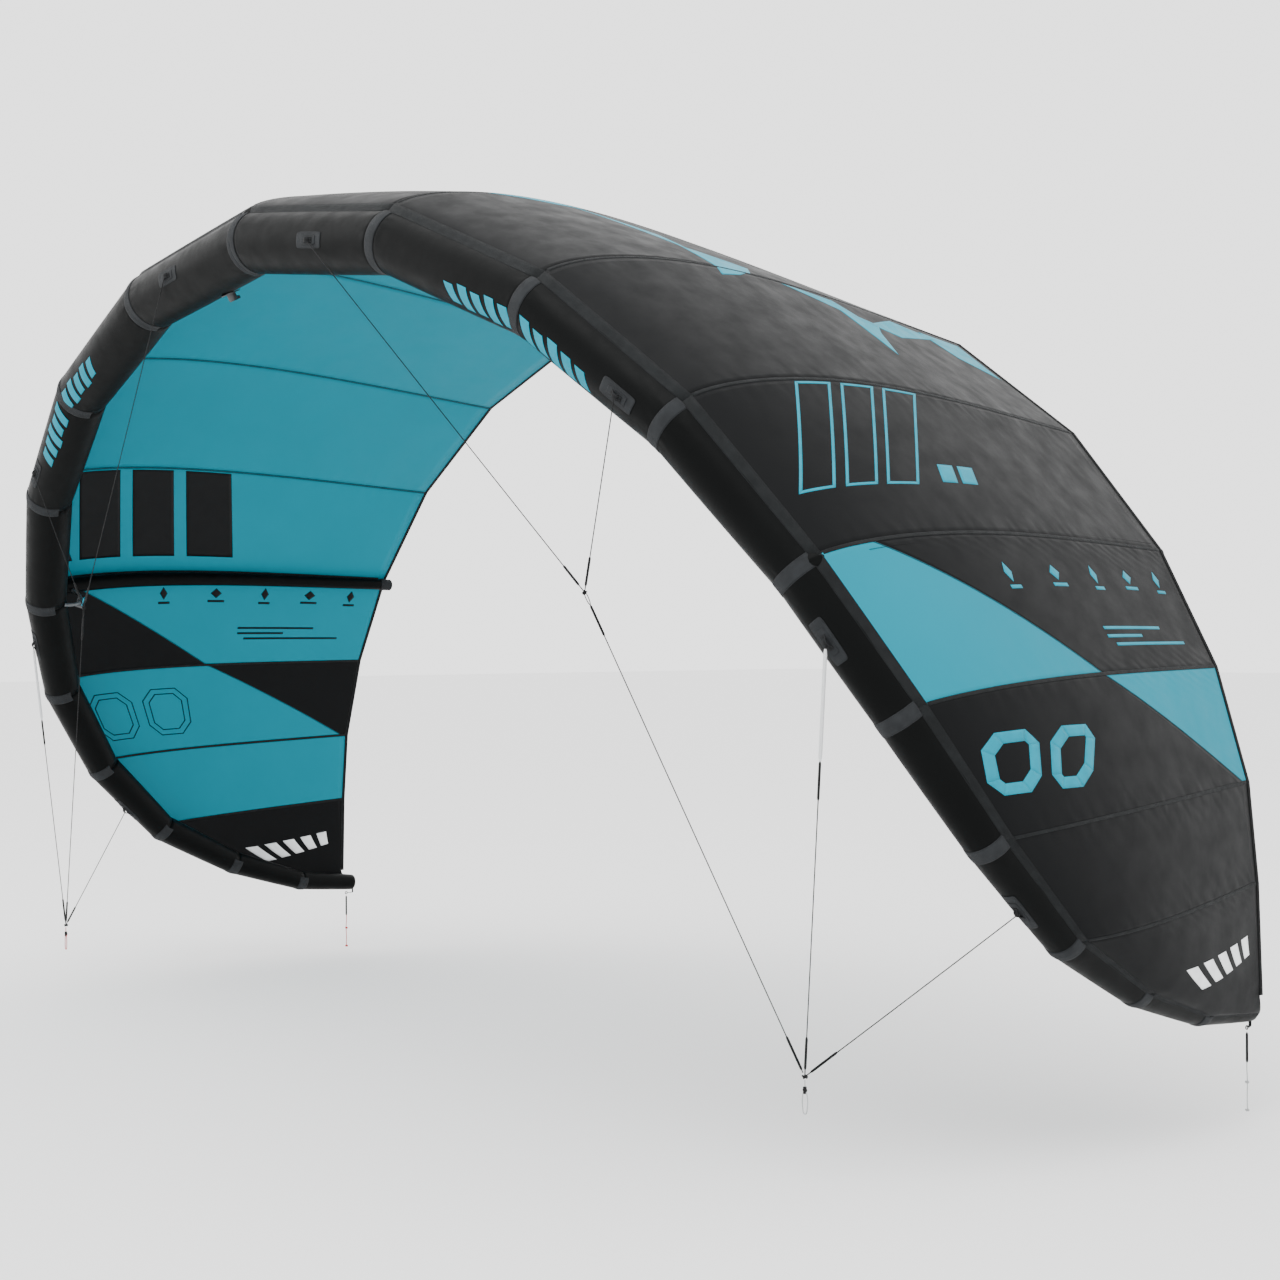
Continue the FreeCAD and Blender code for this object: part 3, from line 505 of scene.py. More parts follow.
def moulded(name, colour, roughness, grain=900.0, **sockets):
    """Moulded plastic or rubber: fine grain, faint flow marks and handling wear."""
    s = Shader(name, colour, **sockets)
    s.set("Base Color", s.vary(s.remap(s.noise(40.0, 4.0), 0.3, 0.7, 0, 1), 0.12))
    s.set("Roughness", s.remap(s.noise(120.0), 0.3, 0.7, roughness - 0.07, roughness + 0.07))
    s.set("Normal", s.bump(s.noise(grain, 2.0), 0.0001, 0.5))
    return s.material


BLACK = srgb(12, 13, 14)
CYAN = srgb(0, 116, 134)
MATERIALS = {
    "tube_cloth": tube_cloth("tube_cloth_black", srgb(5, 6, 6)),
    "canopy_black": canopy_cloth("canopy_cloth_black", BLACK),
    "canopy_cyan": canopy_cloth("canopy_cloth_cyan", CYAN),
    "hem_tape": stitched_cloth("hem_tape_black", srgb(14, 15, 16), srgb(46, 48, 50)),
    "reinforcement": stitched_cloth("reinforcement_grey", srgb(34, 36, 38), srgb(12, 13, 14)),
    "webbing": stitched_cloth("webbing_black", srgb(18, 19, 20), srgb(52, 54, 56), 0.75, 0.0026),
    "tape_on_black": stitched_cloth("seam_tape_on_black", srgb(22, 24, 25), srgb(12, 13, 14)),
    "tape_on_cyan": stitched_cloth("seam_tape_on_cyan", srgb(4, 58, 68), srgb(30, 100, 114)),
    "print_cyan": printed_ink("print_cyan", srgb(0, 124, 144)),
    "print_black": printed_ink("print_black", srgb(15, 16, 17)),
    "print_white": printed_ink("print_white", srgb(228, 230, 231)),
    "line": braided_line("line_dark", srgb(14, 15, 16)),
    "line_white": braided_line("line_white", srgb(176, 178, 178)),
    "line_red": braided_line("line_red", srgb(186, 34, 36)),
    "whipping": whipping("whipping_black", srgb(12, 13, 14)),
    "whipping_pale": whipping("whipping_pale", srgb(214, 216, 217)),
    "valve_plastic": moulded("valve_plastic", srgb(48, 50, 52), 0.42),
    "valve_rubber": moulded("valve_rubber", srgb(38, 38, 39), 0.72, 500.0),
    "hose_plastic": moulded("hose_plastic", srgb(70, 73, 76), 0.34),
    "clip_plastic": moulded("clip_plastic", srgb(20, 150, 178), 0.38),
    "bladder_film": moulded("bladder_film", srgb(214, 218, 220), 0.22, 300.0, Alpha=0.55),
}


# ---------------------------------------------------------------- leading edge tube

SLEEVE_ROWS = 22
SLEEVE_COLUMNS = 72
# The inflation valve goes through the left wing's first segment:
# share along it, angle, hole's radius.
VALVE_SEGMENT, VALVE_SHARE, VALVE_ANGLE, VALVE_HOLE = 1, 0.36, 205, 0.019
VALVE_ROWS = 160


def sleeve_segment(segment, side, sign):
    """One mitred run of the tube's cloth, swollen a little between its seams."""
    holed = side == "left" and segment == VALVE_SEGMENT
    share = np.linspace(0, 1, VALVE_ROWS if holed else SLEEVE_ROWS)[:, None]
    angle = np.linspace(0, 360, SLEEVE_COLUMNS, endpoint=False)[None, :]
    share, angle = np.broadcast_arrays(share, angle)
    swell = SLEEVE_SWELL * np.sin(math.pi * share) ** 0.5
    rings = segment_point(segment, share, angle, swell)
    if segment == STATIONS - 1:
        rings = np.concatenate([rings, tip_dome(rings[-1])])
    pile = Pile()
    pile.grid(rings, *tube_maps(rings), closed=True)
    if holed:
        pile.open_hole(segment_point(segment, VALVE_SHARE, VALVE_ANGLE, 0), VALVE_HOLE)
    made = pile.make(f"tube_sleeve_{segment}_{side}", MATERIALS["tube_cloth"], sign,
                     thickness=SLEEVE_WALL, offset=-1)
    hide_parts(f"leading_edge_segment_{segment}_pair")


def tip_dome(ring):
    """Rounded end that closes the tip, bulging a little outwards."""
    centre = ring.mean(0)
    turns = np.radians([20, 40, 60, 75, 86])
    bulge = TANGENT[-1] * 0.008
    return np.stack([centre + (ring - centre) * math.cos(t) + bulge * math.sin(t) for t in turns])


def seam_band(station, side, sign):
    """Reinforcing strap sewn over a mitred seam, round the front of the tube."""
    start = seam_angle(station) + 6
    angle = np.linspace(start, BAND_END_ANGLE, 48)
    half = BAND_WIDTH / 2
    columns = []
    for step in np.linspace(-1, 1, 9):
        if step < 0 and station == 0:
            continue
        segment = station if step < 0 else station + 1
        length = SEGMENT_LENGTH[segment - 1]
        share = 1 + step * half / length if step < 0 else step * half / length
        lift = 0.0016 - 0.0008 * abs(step) ** 4
        columns.append(segment_point(segment, share, angle, lift))
    grid = np.stack(columns, 1)
    cloth, seam = sheet_maps(grid)
    if station == 0:
        seam = np.stack([cloth[:, -1:, 1] - cloth[..., 1], cloth[..., 0]], -1)
    pile = Pile()
    pile.grid(grid, cloth, seam)
    made = pile.make(f"seam_band_{station}_{side}", MATERIALS["reinforcement"], sign,
                     thickness=BAND_CLOTH)
    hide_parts("seam_bands")


def tube_patch(pile, segment, corners, lift):
    """Four-cornered patch on the tube; corners are (share of the segment, angle)."""
    a, b, c, d = (np.array(corner, float) for corner in corners)
    s = np.linspace(0, 1, 14)[:, None, None]
    t = np.linspace(0, 1, 10)[None, :, None]
    place = (a * (1 - s) + b * s) * (1 - t) + (d * (1 - s) + c * s) * t
    grid = segment_point(segment, place[..., 0], place[..., 1], lift)
    pile.grid(grid, *sheet_maps(grid))


# Slanted bars printed on the tube either side of one seam:
# segment, share along it, length in degrees.
TUBE_BARS = [(2, 0.54, 34), (2, 0.63, 44), (2, 0.72, 38), (2, 0.81, 48), (2, 0.90, 40),
             (3, 0.05, 46), (3, 0.15, 38), (3, 0.25, 48), (3, 0.35, 40), (3, 0.45, 34)]
BAR_MIDDLE_ANGLE = 118
BAR_WIDTH = 0.034
BAR_SLANT = 0.05


def tube_graphics(side, sign):
    pile = Pile()
    for segment, share, reach in TUBE_BARS:
        wide = BAR_WIDTH / SEGMENT_LENGTH[segment - 1]
        low, high = BAR_MIDDLE_ANGLE - reach / 2, BAR_MIDDLE_ANGLE + reach / 2
        tube_patch(pile, segment, [(share, low), (share + wide, low),
                                   (share + wide + BAR_SLANT, high), (share + BAR_SLANT, high)], 0.0016)
    made = pile.make(f"tube_graphics_{side}", MATERIALS["print_cyan"], sign, thickness=0.0004)


# ---------------------------------------------------------------- canopy

PANEL_ROWS = 60
PANEL_COLUMNS = 27


def panel_grid(bay, front, rear):
    """Points of a panel between two shares of its chord, each given at its two ribs."""
    columns = PANEL_COLUMNS * 2 - 1 if bay == PANELS else PANEL_COLUMNS
    u = np.linspace(0, 1, columns)[None, :]
    step = np.linspace(0, 1, PANEL_ROWS)[:, None]
    low = front[0] + (front[1] - front[0]) * u
    high = rear[0] + (rear[1] - rear[0]) * u
    return canopy_point(bay, u, low + (high - low) * step ** (1.5 if front[0] == 0 else 1.0))


def canopy_sheet(name, bay, front, rear, colour, side, sign):
    """One cut piece of cloth, stretched between its ribs."""
    grid = panel_grid(bay, front, rear)
    pile = Pile()
    pile.grid(grid, *sheet_maps(grid))
    made = pile.make(name, MATERIALS["canopy_" + colour], sign, thickness=CLOTH_THICKNESS)
    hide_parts(f"canopy_panel_{side}_{bay}")


def panel_colours(side):
    """Colour of each panel, or of its front and rear parts where it has two."""
    first, second = ("black", "cyan") if side == "right" else ("cyan", "black")
    colours = {bay: first for bay in range(1, PANELS + 1)}
    colours[PANELS] = "black"
    colours[5] = (second, first)
    colours[6] = (first, second)
    return colours


def canopy(side, sign):
    for bay, colour in panel_colours(side).items():
        if bay in COLOUR_SPLIT:
            split = COLOUR_SPLIT[bay]
            canopy_sheet(f"canopy_{side}_{bay}_front", bay, (0, 0), split, colour[0], side, sign)
            canopy_sheet(f"canopy_{side}_{bay}_rear", bay, split, (1, 1), colour[1], side, sign)
        else:
            canopy_sheet(f"canopy_{side}_{bay}", bay, (0, 0), (1, 1), colour, side, sign)


def bay_width(bay, v):
    ribs = TIP_RIBS if bay == PANELS else [bay - 1, bay]
    return np.linalg.norm(rib_point(ribs[-1], v) - rib_point(ribs[0], v), axis=-1)


def rib_tape(station, side, sign):
    """Narrow tape over the seam between two panels, on both faces of the cloth."""
    v = np.linspace(0.004, 1, 90)
    columns = []
    for offset in np.linspace(-TAPE_HALF_WIDTH, TAPE_HALF_WIDTH, 7):
        bay = station if offset < 0 else station + 1
        if bay < 1:
            continue
        across = offset / bay_width(bay, v)
        columns.append(canopy_point(bay, across + (1 if offset < 0 else 0), v))
    grid = np.stack(columns, 1)
    pile = Pile()
    pile.grid(grid, *sheet_maps(grid))
    cyan = side == "left" and station < 5
    made = pile.make(f"seam_tape_{station}_{side}", MATERIALS["tape_on_cyan" if cyan else "tape_on_black"],
                     sign, thickness=TAPE_THICKNESS)


def split_tape(bay, side, sign):
    """Tape over the slanting seam between two colours."""
    start, end = COLOUR_SPLIT[bay]
    u = np.linspace(0, 1, 50)
    chord = np.linalg.norm(TRAILING[bay] - LEADING[bay])
    columns = []
    for offset in np.linspace(-TAPE_HALF_WIDTH, TAPE_HALF_WIDTH, 5) * 0.6:
        columns.append(canopy_point(bay, u,
                                    np.clip(start + (end - start) * u + offset / chord, 0, 1)))
    grid = np.stack(columns, 1)
    pile = Pile()
    pile.grid(grid, *sheet_maps(grid))
    made = pile.make(f"colour_seam_{bay}_{side}", MATERIALS["tape_on_cyan"], sign,
                     thickness=TAPE_THICKNESS * 0.8)


# How far the tape over the canopy's front seam reaches over the tube.
JOINT_TAPE_AHEAD = 0.008
JOINT_TAPE_LIFT = 0.0009


def joint_tape(side, sign):
    """Tape over the seam that joins the canopy to the tube, on the outer face."""
    share = np.linspace(0, 1, 12)
    pile = Pile()
    for segment in range(1, STATIONS):
        bay = min(segment, PANELS)
        parts = len(TIP_RIBS) - 1 if bay == PANELS else 1
        u = (share + segment - bay) / parts
        seam = seam_angle(segment - 1) + (seam_angle(segment) - seam_angle(segment - 1)) * share
        reach = math.degrees(JOINT_TAPE_AHEAD / RADIUS[segment])
        columns = [segment_point(segment, share, seam + reach * part, JOINT_TAPE_LIFT)
                   for part in (1, 0.5)]
        columns += [canopy_point(bay, u, v) + OUTWARD[bay] * JOINT_TAPE_LIFT
                    for v in (0.001, 0.004, 0.008)]
        grid = np.stack(columns, 1)
        pile.grid(grid, *sheet_maps(grid))
    made = pile.make(f"joint_tape_{side}", MATERIALS["tape_on_black"], sign, thickness=0.0006)


HEM_DEPTH = 0.012
HEM_THICKNESS = 0.003


def trailing_hem():
    """Folded tape along the whole trailing edge, its fold at the rear."""
    section = [(0, -1), (0.35, -1), (0.75, -0.95), (0.93, -0.6), (1, 0),
               (0.93, 0.6), (0.75, 0.95), (0.35, 1), (0, 1), (0, 0)]
    right = []
    for station in range(STATIONS):
        steps = 1 if station == STATIONS - 1 else 12
        for step in range(steps):
            share = step / steps
            after = min(station + 1, STATIONS - 1)
            edge = TRAILING[station] * (1 - share) + TRAILING[after] * share
            up = unit(OUTWARD[station] * (1 - share) + OUTWARD[after] * share)
            right.append([edge + up * (CANOPY_MIDDLE + HEM_THICKNESS / 2 * high)
                          + np.array([0, HEM_DEPTH * deep + SEAM_GAP, 0]) for deep, high in section])
    right = np.array(right)
    rings = np.concatenate([right[:0:-1] * (-1, 1, 1), right])
    pile = Pile()
    pile.grid(rings, *tube_maps(rings), closed=True, capped=True)
    made = pile.make("trailing_hem_tape", MATERIALS["hem_tape"])
    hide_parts("trailing_edge_hem")


# ---------------------------------------------------------------- printed graphics on the canopy

def bay_patch(pile, bay, corners, lift=0.0):
    """Four-cornered patch of ink; corners are (u, v) in order round it."""
    a, b, c, d = (np.array(corner, float) for corner in corners)
    span = bay_width(bay, 0.5)
    chord = np.linalg.norm(TRAILING[bay] - LEADING[bay])
    size = np.array([span, chord])
    rows = 2 + int(max(np.linalg.norm((b - a) * size), np.linalg.norm((c - d) * size)) / PRINT_STEP)
    wide = 2 + int(max(np.linalg.norm((d - a) * size), np.linalg.norm((c - b) * size)) / PRINT_STEP)
    s = np.linspace(0, 1, rows)[:, None, None]
    t = np.linspace(0, 1, wide)[None, :, None]
    place = (a * (1 - s) + b * s) * (1 - t) + (d * (1 - s) + c * s) * t
    grid = canopy_point(bay, place[..., 0], place[..., 1]) + OUTWARD[bay] * lift
    pile.grid(grid, *sheet_maps(grid))


def inset(bay, corners, stroke):
    """The corners of a convex shape moved in by a stroke's width."""
    size = np.array([bay_width(bay, 0.5), np.linalg.norm(TRAILING[bay] - LEADING[bay])])
    metric = np.array(corners, float) * size
    inner = []
    for i, point in enumerate(metric):
        before = unit(metric[i - 1] - point)
        after = unit(metric[(i + 1) % len(metric)] - point)
        half = math.acos(np.clip(before @ after, -1, 1)) / 2
        inner.append(point + unit(before + after) * stroke / math.sin(half))
    return np.array(inner) / size


def outline(pile, bay, corners, stroke):
    """Closed outline of a convex shape, mitred at its corners."""
    inner = inset(bay, corners, stroke)
    for i in range(len(corners)):
        j = (i + 1) % len(corners)
        bay_patch(pile, bay, [corners[i], corners[j], inner[j], inner[i]])


def slanted_block(left_top, right_top, left_foot, right_foot, first, last):
    """Part of a slanting row of letters-high blocks, between two shares of the row."""
    top, foot = np.array([left_top, right_top], float), np.array([left_foot, right_foot], float)
    a = top[0] + (top[1] - top[0]) * first
    b = top[0] + (top[1] - top[0]) * last
    c = foot[0] + (foot[1] - foot[0]) * last
    d = foot[0] + (foot[1] - foot[0]) * first
    return [a, b, c, d]


# Rows of generic blocks on panel 4:
# the row's corners as (u, v), then the share that each block takes.
BIG_ROW = {"right": ((0.02, 0.20), (0.02, 0.50), (0.68, 0.04), (0.70, 0.30)),
           "left": ((0.02, 0.12), (0.02, 0.50), (0.82, 0.14), (0.82, 0.56))}
BIG_BLOCKS = [(0.0, 0.27), (0.35, 0.62), (0.70, 1.0)]
SMALL_ROW = {"right": ((0.56, 0.39), (0.56, 0.49), (0.68, 0.37), (0.68, 0.47)),
             "left": ((0.70, 0.03), (0.70, 0.105), (0.82, 0.04), (0.82, 0.12))}
SMALL_BLOCKS = [(0.0, 0.42), (0.56, 1.0)]
# Small marks on panel 5: badges in a row, then three thin bars of unequal length.
BADGE_U = {"right": 0.28, "left": 0.20}
BADGE_PLACES = [0.38, 0.53, 0.67, 0.80, 0.92]
BAR_U = {"right": 0.67, "left": 0.58}
BAR_ROWS = [(0.0, 0.60, 0.83), (0.06, 0.60, 0.74), (0.12, 0.62, 0.91)]
BAR_HEIGHT = 0.022
# Two chamfered rings on panel 6: the pair's corners as (u, v), the share of each, its chamfer.
RING_ROW = {"right": ((0.28, 0.06), (0.35, 0.40), (0.70, 0.01), (0.77, 0.29)),
            "left": ((0.24, 0.08), (0.26, 0.43), (0.80, 0.08), (0.82, 0.42))}
RING_SHARES = [(0.0, 0.45), (0.55, 1.0)]
RING_CHAMFER = 0.24
RING_STROKE = {"right": 0.026, "left": 0.020}
STROKE = 0.007
THIN_STROKE = 0.0035
# Slanted white bars on the tip panel: u and v of each one's front corner.
TIP_BARS = [(0.28, 0.24), (0.30, 0.37), (0.32, 0.50), (0.34, 0.63), (0.36, 0.76)]
# Long pointed streaks on the outer face of the right wing: panel, then four corners.
STREAKS = [(1, (0.90, 0.20), (1.0, 0.17), (1.0, 0.30), (0.97, 0.36)),
           (2, (0.0, 0.17), (0.09, 0.30), (0.05, 0.38), (0.0, 0.32)),
           (2, (0.04, 0.345), (0.48, 0.375), (0.72, 0.39), (0.45, 0.41)),
           (2, (0.66, 0.385), (1.0, 0.35), (1.0, 0.43), (0.86, 0.475)),
           (3, (0.0, 0.35), (0.09, 0.335), (0.05, 0.39), (0.0, 0.42)),
           (3, (0.02, 0.50), (0.17, 0.60), (0.30, 0.67), (0.05, 0.62)),
           (3, (0.15, 0.60), (0.60, 0.61), (0.34, 0.655), (0.22, 0.69)),
           (3, (0.24, 0.66), (0.30, 0.73), (0.10, 0.90), (0.05, 0.78)),
           (3, (0.06, 0.86), (0.30, 0.90), (0.44, 0.985), (0.05, 0.985))]
STREAK_LIFT = 0.0004
STREAK_THICKNESS = 0.0008


def ring(row, first, last):
    """Chamfered four-sided shape, as eight corners, between two shares of a row."""
    square = [np.array(corner) for corner in slanted_block(*row, first, last)]
    corners = []
    for i, point in enumerate(square):
        corners.append(point + (square[i - 1] - point) * RING_CHAMFER)
        corners.append(point + (square[(i + 1) % 4] - point) * RING_CHAMFER)
    return corners


def badge(u, v, wide, high):
    """Small lozenge over a short bar."""
    foot, base, half = u + high + 0.02, u + high + 0.045, wide * 1.5
    return [[(u - high, v), (u, v - wide), (u + high, v), (u, v + wide)],
            [(foot, v - half), (base, v - half), (base, v + half), (foot, v + half)]]


def canopy_graphics(side, sign):
    """Plain geometric marks, solid on one wing where they are outlined on the other."""
    right = side == "right"
    ink = MATERIALS["print_cyan" if right else "print_black"]
    pile = Pile()
    for first, last in BIG_BLOCKS:
        shape = slanted_block(*BIG_ROW[side], first, last)
        outline(pile, 4, shape, STROKE) if right else bay_patch(pile, 4, shape)
    for first, last in SMALL_BLOCKS:
        bay_patch(pile, 4, slanted_block(*SMALL_ROW[side], first, last))
    for first, last in RING_SHARES:
        shape = ring(RING_ROW[side], first, last)
        if right:
            outline(pile, 6, shape, RING_STROKE[side])
        else:
            outline(pile, 6, shape, THIN_STROKE)
            outline(pile, 6, inset(6, shape, RING_STROKE[side]), THIN_STROKE)
    made = pile.make(f"graphics_{side}", ink, sign, thickness=PRINT_THICKNESS)

    small = Pile()
    for number, v in enumerate(BADGE_PLACES):
        wide, high = (0.016, 0.055) if number % 2 else (0.011, 0.07)
        for shape in badge(BADGE_U[side], v, wide, high):
            bay_patch(small, 5, shape)
    for step, low, high in BAR_ROWS:
        u = BAR_U[side] + step
        bay_patch(small, 5, [(u, low), (u + BAR_HEIGHT, low), (u + BAR_HEIGHT, high), (u, high)])
    made = small.make(f"small_marks_{side}", ink, sign, thickness=PRINT_THICKNESS)

    tip = Pile()
    for u, v in TIP_BARS:
        bay_patch(tip, 8, [(u, v + 0.02), (u + 0.015, v + 0.10),
                           (u + 0.17, v + 0.07), (u + 0.155, v - 0.01)])
    made = tip.make(f"tip_marks_{side}", MATERIALS["print_white"], sign, thickness=PRINT_THICKNESS)


def streaks():
    pile = Pile()
    for bay, *corners in STREAKS:
        bay_patch(pile, bay, corners, STREAK_LIFT)
    made = pile.make("streaks_right", MATERIALS["print_cyan"], thickness=STREAK_THICKNESS)


# ---------------------------------------------------------------- struts

def strut_radius(u):
    return STRUT_RADIUS_FRONT + (STRUT_RADIUS_REAR - STRUT_RADIUS_FRONT) * u


def strut_axis(station, u):
    """Centre of the strut under the rib; past 1 it carries straight on."""
    step = 0.01
    inside = np.minimum(u, 1)
    near = np.maximum(inside, 0.08)
    run = unit(rib_point(station, np.minimum(near + step, 1)) - rib_point(station, near - step))
    side = unit(np.cross(run, OUTWARD[station]))
    normal = unit(np.cross(side, run))
    centre = rib_point(station, inside) - normal * (strut_radius(u) + SEAM_GAP)[:, None]
    return centre + run * ((u - inside) * CENTRE_CHORD)[:, None]


def outside_tube(points, station):
    """True where a point is clear of the leading edge tube beside a station."""
    clear = np.ones(points.shape[:-1], bool)
    ends = [(LEADING[station + 1], RADIUS[station + 1])]
    if station:
        ends.append((LEADING[station - 1], RADIUS[station - 1]))
    else:
        ends.append((LEADING[1] * (-1, 1, 1), RADIUS[1]))
    for end, radius in ends:
        run = end - LEADING[station]
        share = np.clip((points - LEADING[station]) @ run / (run @ run), 0, 1)
        away = np.linalg.norm(points - LEADING[station] - share[..., None] * run, axis=-1)
        clear &= away > RADIUS[station] + (radius - RADIUS[station]) * share - 0.001
    return clear


def strut(name, station, sign):
    """Tapered cloth tube that starts on the leading edge and ends in a rounded, sewn cap."""
    count = 40
    last = 1 + STRUT_OVERHANG / CENTRE_CHORD
    fine = np.linspace(0.0, 0.2, 200)
    centres = strut_axis(station, np.concatenate([fine, np.linspace(0.205, last, 60)]))
    u = np.concatenate([fine, np.linspace(0.205, last, 60)])
    rings = tube_rings(centres, strut_radius(u), count)
    clear = outside_tube(rings, station)
    begin = np.array([np.flatnonzero(~clear[:, c])[-1] if (~clear[:, c]).any() else 0
                      for c in range(count)])
    spread = np.linspace(0, 1, 90) ** 1.3
    rows = begin[None, :] + (len(u) - 1 - begin[None, :]) * spread[:, None]
    low = np.minimum(rows.astype(int), len(u) - 2)
    part = (rows - low)[..., None]
    column = np.arange(count)[None, :]
    grid = rings[low, column] * (1 - part) + rings[low + 1, column] * part
    centre = grid[-1].mean(0)
    end_run = unit(centres[-1] - centres[-3])
    dome = [centre + (grid[-1] - centre) * math.cos(t) + end_run * 0.007 * math.sin(t)
            for t in np.radians([18, 36, 54, 70, 82])]
    grid = np.concatenate([grid, np.stack(dome)])
    pile = Pile()
    pile.grid(grid, *tube_maps(grid), closed=True)
    made = pile.make(f"strut_sleeve_{name}", MATERIALS["tube_cloth"], sign,
                     thickness=SLEEVE_WALL, offset=-1)
    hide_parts(f"strut_{name}")

    cap = Pile()
    near = np.linspace(1 - 0.012, last - 0.0005, 10)
    collar = tube_rings(strut_axis(station, near), strut_radius(near) + 0.0012, count)
    cap.grid(collar, *tube_maps(collar), closed=True)
    made = cap.make(f"strut_end_band_{name}", MATERIALS["reinforcement"], sign, thickness=0.0008)

    for hand in (-1, 1):
        flange = Pile()
        v = np.linspace(0.09, 0.985, 70)
        centre = strut_axis(station, v)
        run = unit(np.gradient(centre, axis=0))
        across = unit(np.cross(run, OUTWARD[station])) * hand
        top = unit(np.cross(across, run) * hand)
        top = np.where((top @ OUTWARD[station])[:, None] > 0, top, -top)
        radius = strut_radius(v)[:, None]
        low_edge = centre + (across * math.sin(0.75) + top * math.cos(0.75)) * (radius + 0.0006)
        high_edge = rib_point(station, v) + across * 0.020 - top * 0.0004
        mid = (low_edge + high_edge) / 2 - top * 0.0008
        strip = np.stack([low_edge, mid, high_edge], 1)
        flange.grid(strip, *sheet_maps(strip))
        made = flange.make(f"strut_flange_{name}_{'inner' if hand < 0 else 'outer'}",
                           MATERIALS["hem_tape"], sign, thickness=0.0006)


# ---------------------------------------------------------------- tabs and tip webbing

def tab_point(name):
    segment, share, angle = TAB_PLACES[name]
    return segment_point(segment, share, angle, TAB_STAND_OFF)


def tab(name, side, sign):
    """Sewn patch with a webbing loop that stands off the tube."""
    segment, share, angle = TAB_PLACES[name]
    length = SEGMENT_LENGTH[segment - 1]
    radius = RADIUS[segment - 1] * (1 - share) + RADIUS[segment] * share
    pile = Pile()
    for size, lift in ((1.0, 0.0018), (0.58, 0.0030)):
        half_long, half_wide = 0.0525 * size / length, math.degrees(0.021 * size / radius)
        s = np.linspace(-1, 1, 25)[:, None]
        t = np.linspace(-1, 1, 13)[None, :]
        corner = 1 - 0.10 * (s ** 8) * (t ** 2)
        grid = segment_point(segment, share + half_long * s * (1 - 0.04 * t ** 8),
                             angle + half_wide * t * corner, lift)
        pile.grid(grid, *sheet_maps(grid))
    patch = pile.make(f"tab_patch_{name}_{side}", MATERIALS["reinforcement"], sign,
                      thickness=PATCH_CLOTH)
    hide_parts("webbing_tabs")

    hub = LEADING[segment - 1] + (LEADING[segment] - LEADING[segment - 1]) * share
    out = unit(tab_point(name) - hub)
    along = RUNS[segment - 1]
    down = unit(np.cross(along, out))
    base = tab_point(name) - out * TAB_STAND_OFF
    arch = np.linspace(0, math.pi, 21)
    half = 0.0095
    line = [base + along * half * 1.9 + out * 0.0036, base + along * half * 1.35 + out * 0.0044]
    line += [base + along * half * math.cos(t) + out * (0.0052 + 0.0058 * math.sin(t)) for t in arch]
    line += [base - along * half * 1.35 + out * 0.0044, base - along * half * 1.9 + out * 0.0036]
    line = np.array(line)
    ribbon = np.stack([line + down * w for w in np.linspace(-0.0065, 0.0065, 6)], 1)
    loop = Pile()
    loop.grid(ribbon, *sheet_maps(ribbon))
    made = loop.make(f"tab_loop_{name}_{side}", MATERIALS["webbing"], sign, thickness=0.0014)
    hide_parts("webbing_tabs")


def tip_webbing(side, sign):
    """Strap folded under the tip and the sewn ring that the rear pigtail hangs from."""
    end = LEADING[-1] + TANGENT[-1] * 0.003
    ring_radius, wire = 0.0045, 0.0014
    centre = PIGTAIL_TOP + (0, 0, ring_radius)
    turn = np.linspace(0, 2 * math.pi, 33)
    ring = centre + np.stack([0 * turn, np.cos(turn), np.sin(turn)], -1) * ring_radius
    pile = Pile()
    add_tube(pile, ring, np.full(33, wire), 12, (1, 0, 0), capped=False)
    made = pile.make(f"tip_ring_{side}", MATERIALS["webbing"], sign)
    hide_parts("webbing_tabs")
    ring_side = centre + (0, ring_radius, 0)
    corner = np.array([end[0], end[1] + 0.001, ring_side[2] + 0.001])
    line = np.array([end + (0, 0.001, 0.012), end + (0, 0.001, 0), (end + corner) / 2 + (0, 0.0015, 0),
                     corner + (0, 0.001, 0.004), corner, (corner + ring_side) / 2, ring_side])
    fine = np.stack([np.interp(np.linspace(0, 6, 40), range(7), line[:, k]) for k in range(3)], -1)
    ribbon = np.stack([fine + np.array([w, 0, 0]) for w in np.linspace(-0.004, 0.004, 5)], 1)
    strap = Pile()
    strap.grid(ribbon, *sheet_maps(ribbon))
    made = strap.make(f"tip_strap_{side}", MATERIALS["webbing"], sign, thickness=0.0012)
    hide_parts("webbing_tabs")


# ---------------------------------------------------------------- bridle lines, knots and pigtails

def flipped(point, sign):
    return np.array(point, float) * (sign, 1, 1)


def cord_piece(name, route, material, body):
    """Smooth line of cord through its route's control points."""
    curve = bpy.data.curves.new(name, "CURVE")
    curve.dimensions = "3D"
    curve.bevel_depth = LINE_DIAMETER / 2
    curve.bevel_resolution = 3
    curve.resolution_u = 16
    curve.use_fill_caps = True
    line = curve.splines.new("NURBS")
    line.points.add(len(route) - 1)
    for point, place in zip(line.points, route):
        point.co = (*place, 1)
    line.order_u = 3
    line.use_endpoint_u = True
    curve.materials.append(material)
    made = bpy.data.objects.new(name, curve)
    bpy.context.scene.collection.objects.link(made)
    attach(made, body)
    return made


def measured(curve_object):
    """Length of the cord's own smooth line."""
    bare = bpy.data.objects.new("bare", curve_object.data.copy())
    bare.data.bevel_depth = 0
    mesh = bpy.data.meshes.new_from_object(bare)
    line = np.array([v.co for v in mesh.vertices])
    bpy.data.meshes.remove(mesh)
    bpy.data.curves.remove(bare.data)
    return float(np.linalg.norm(np.diff(line, axis=0), axis=1).sum())


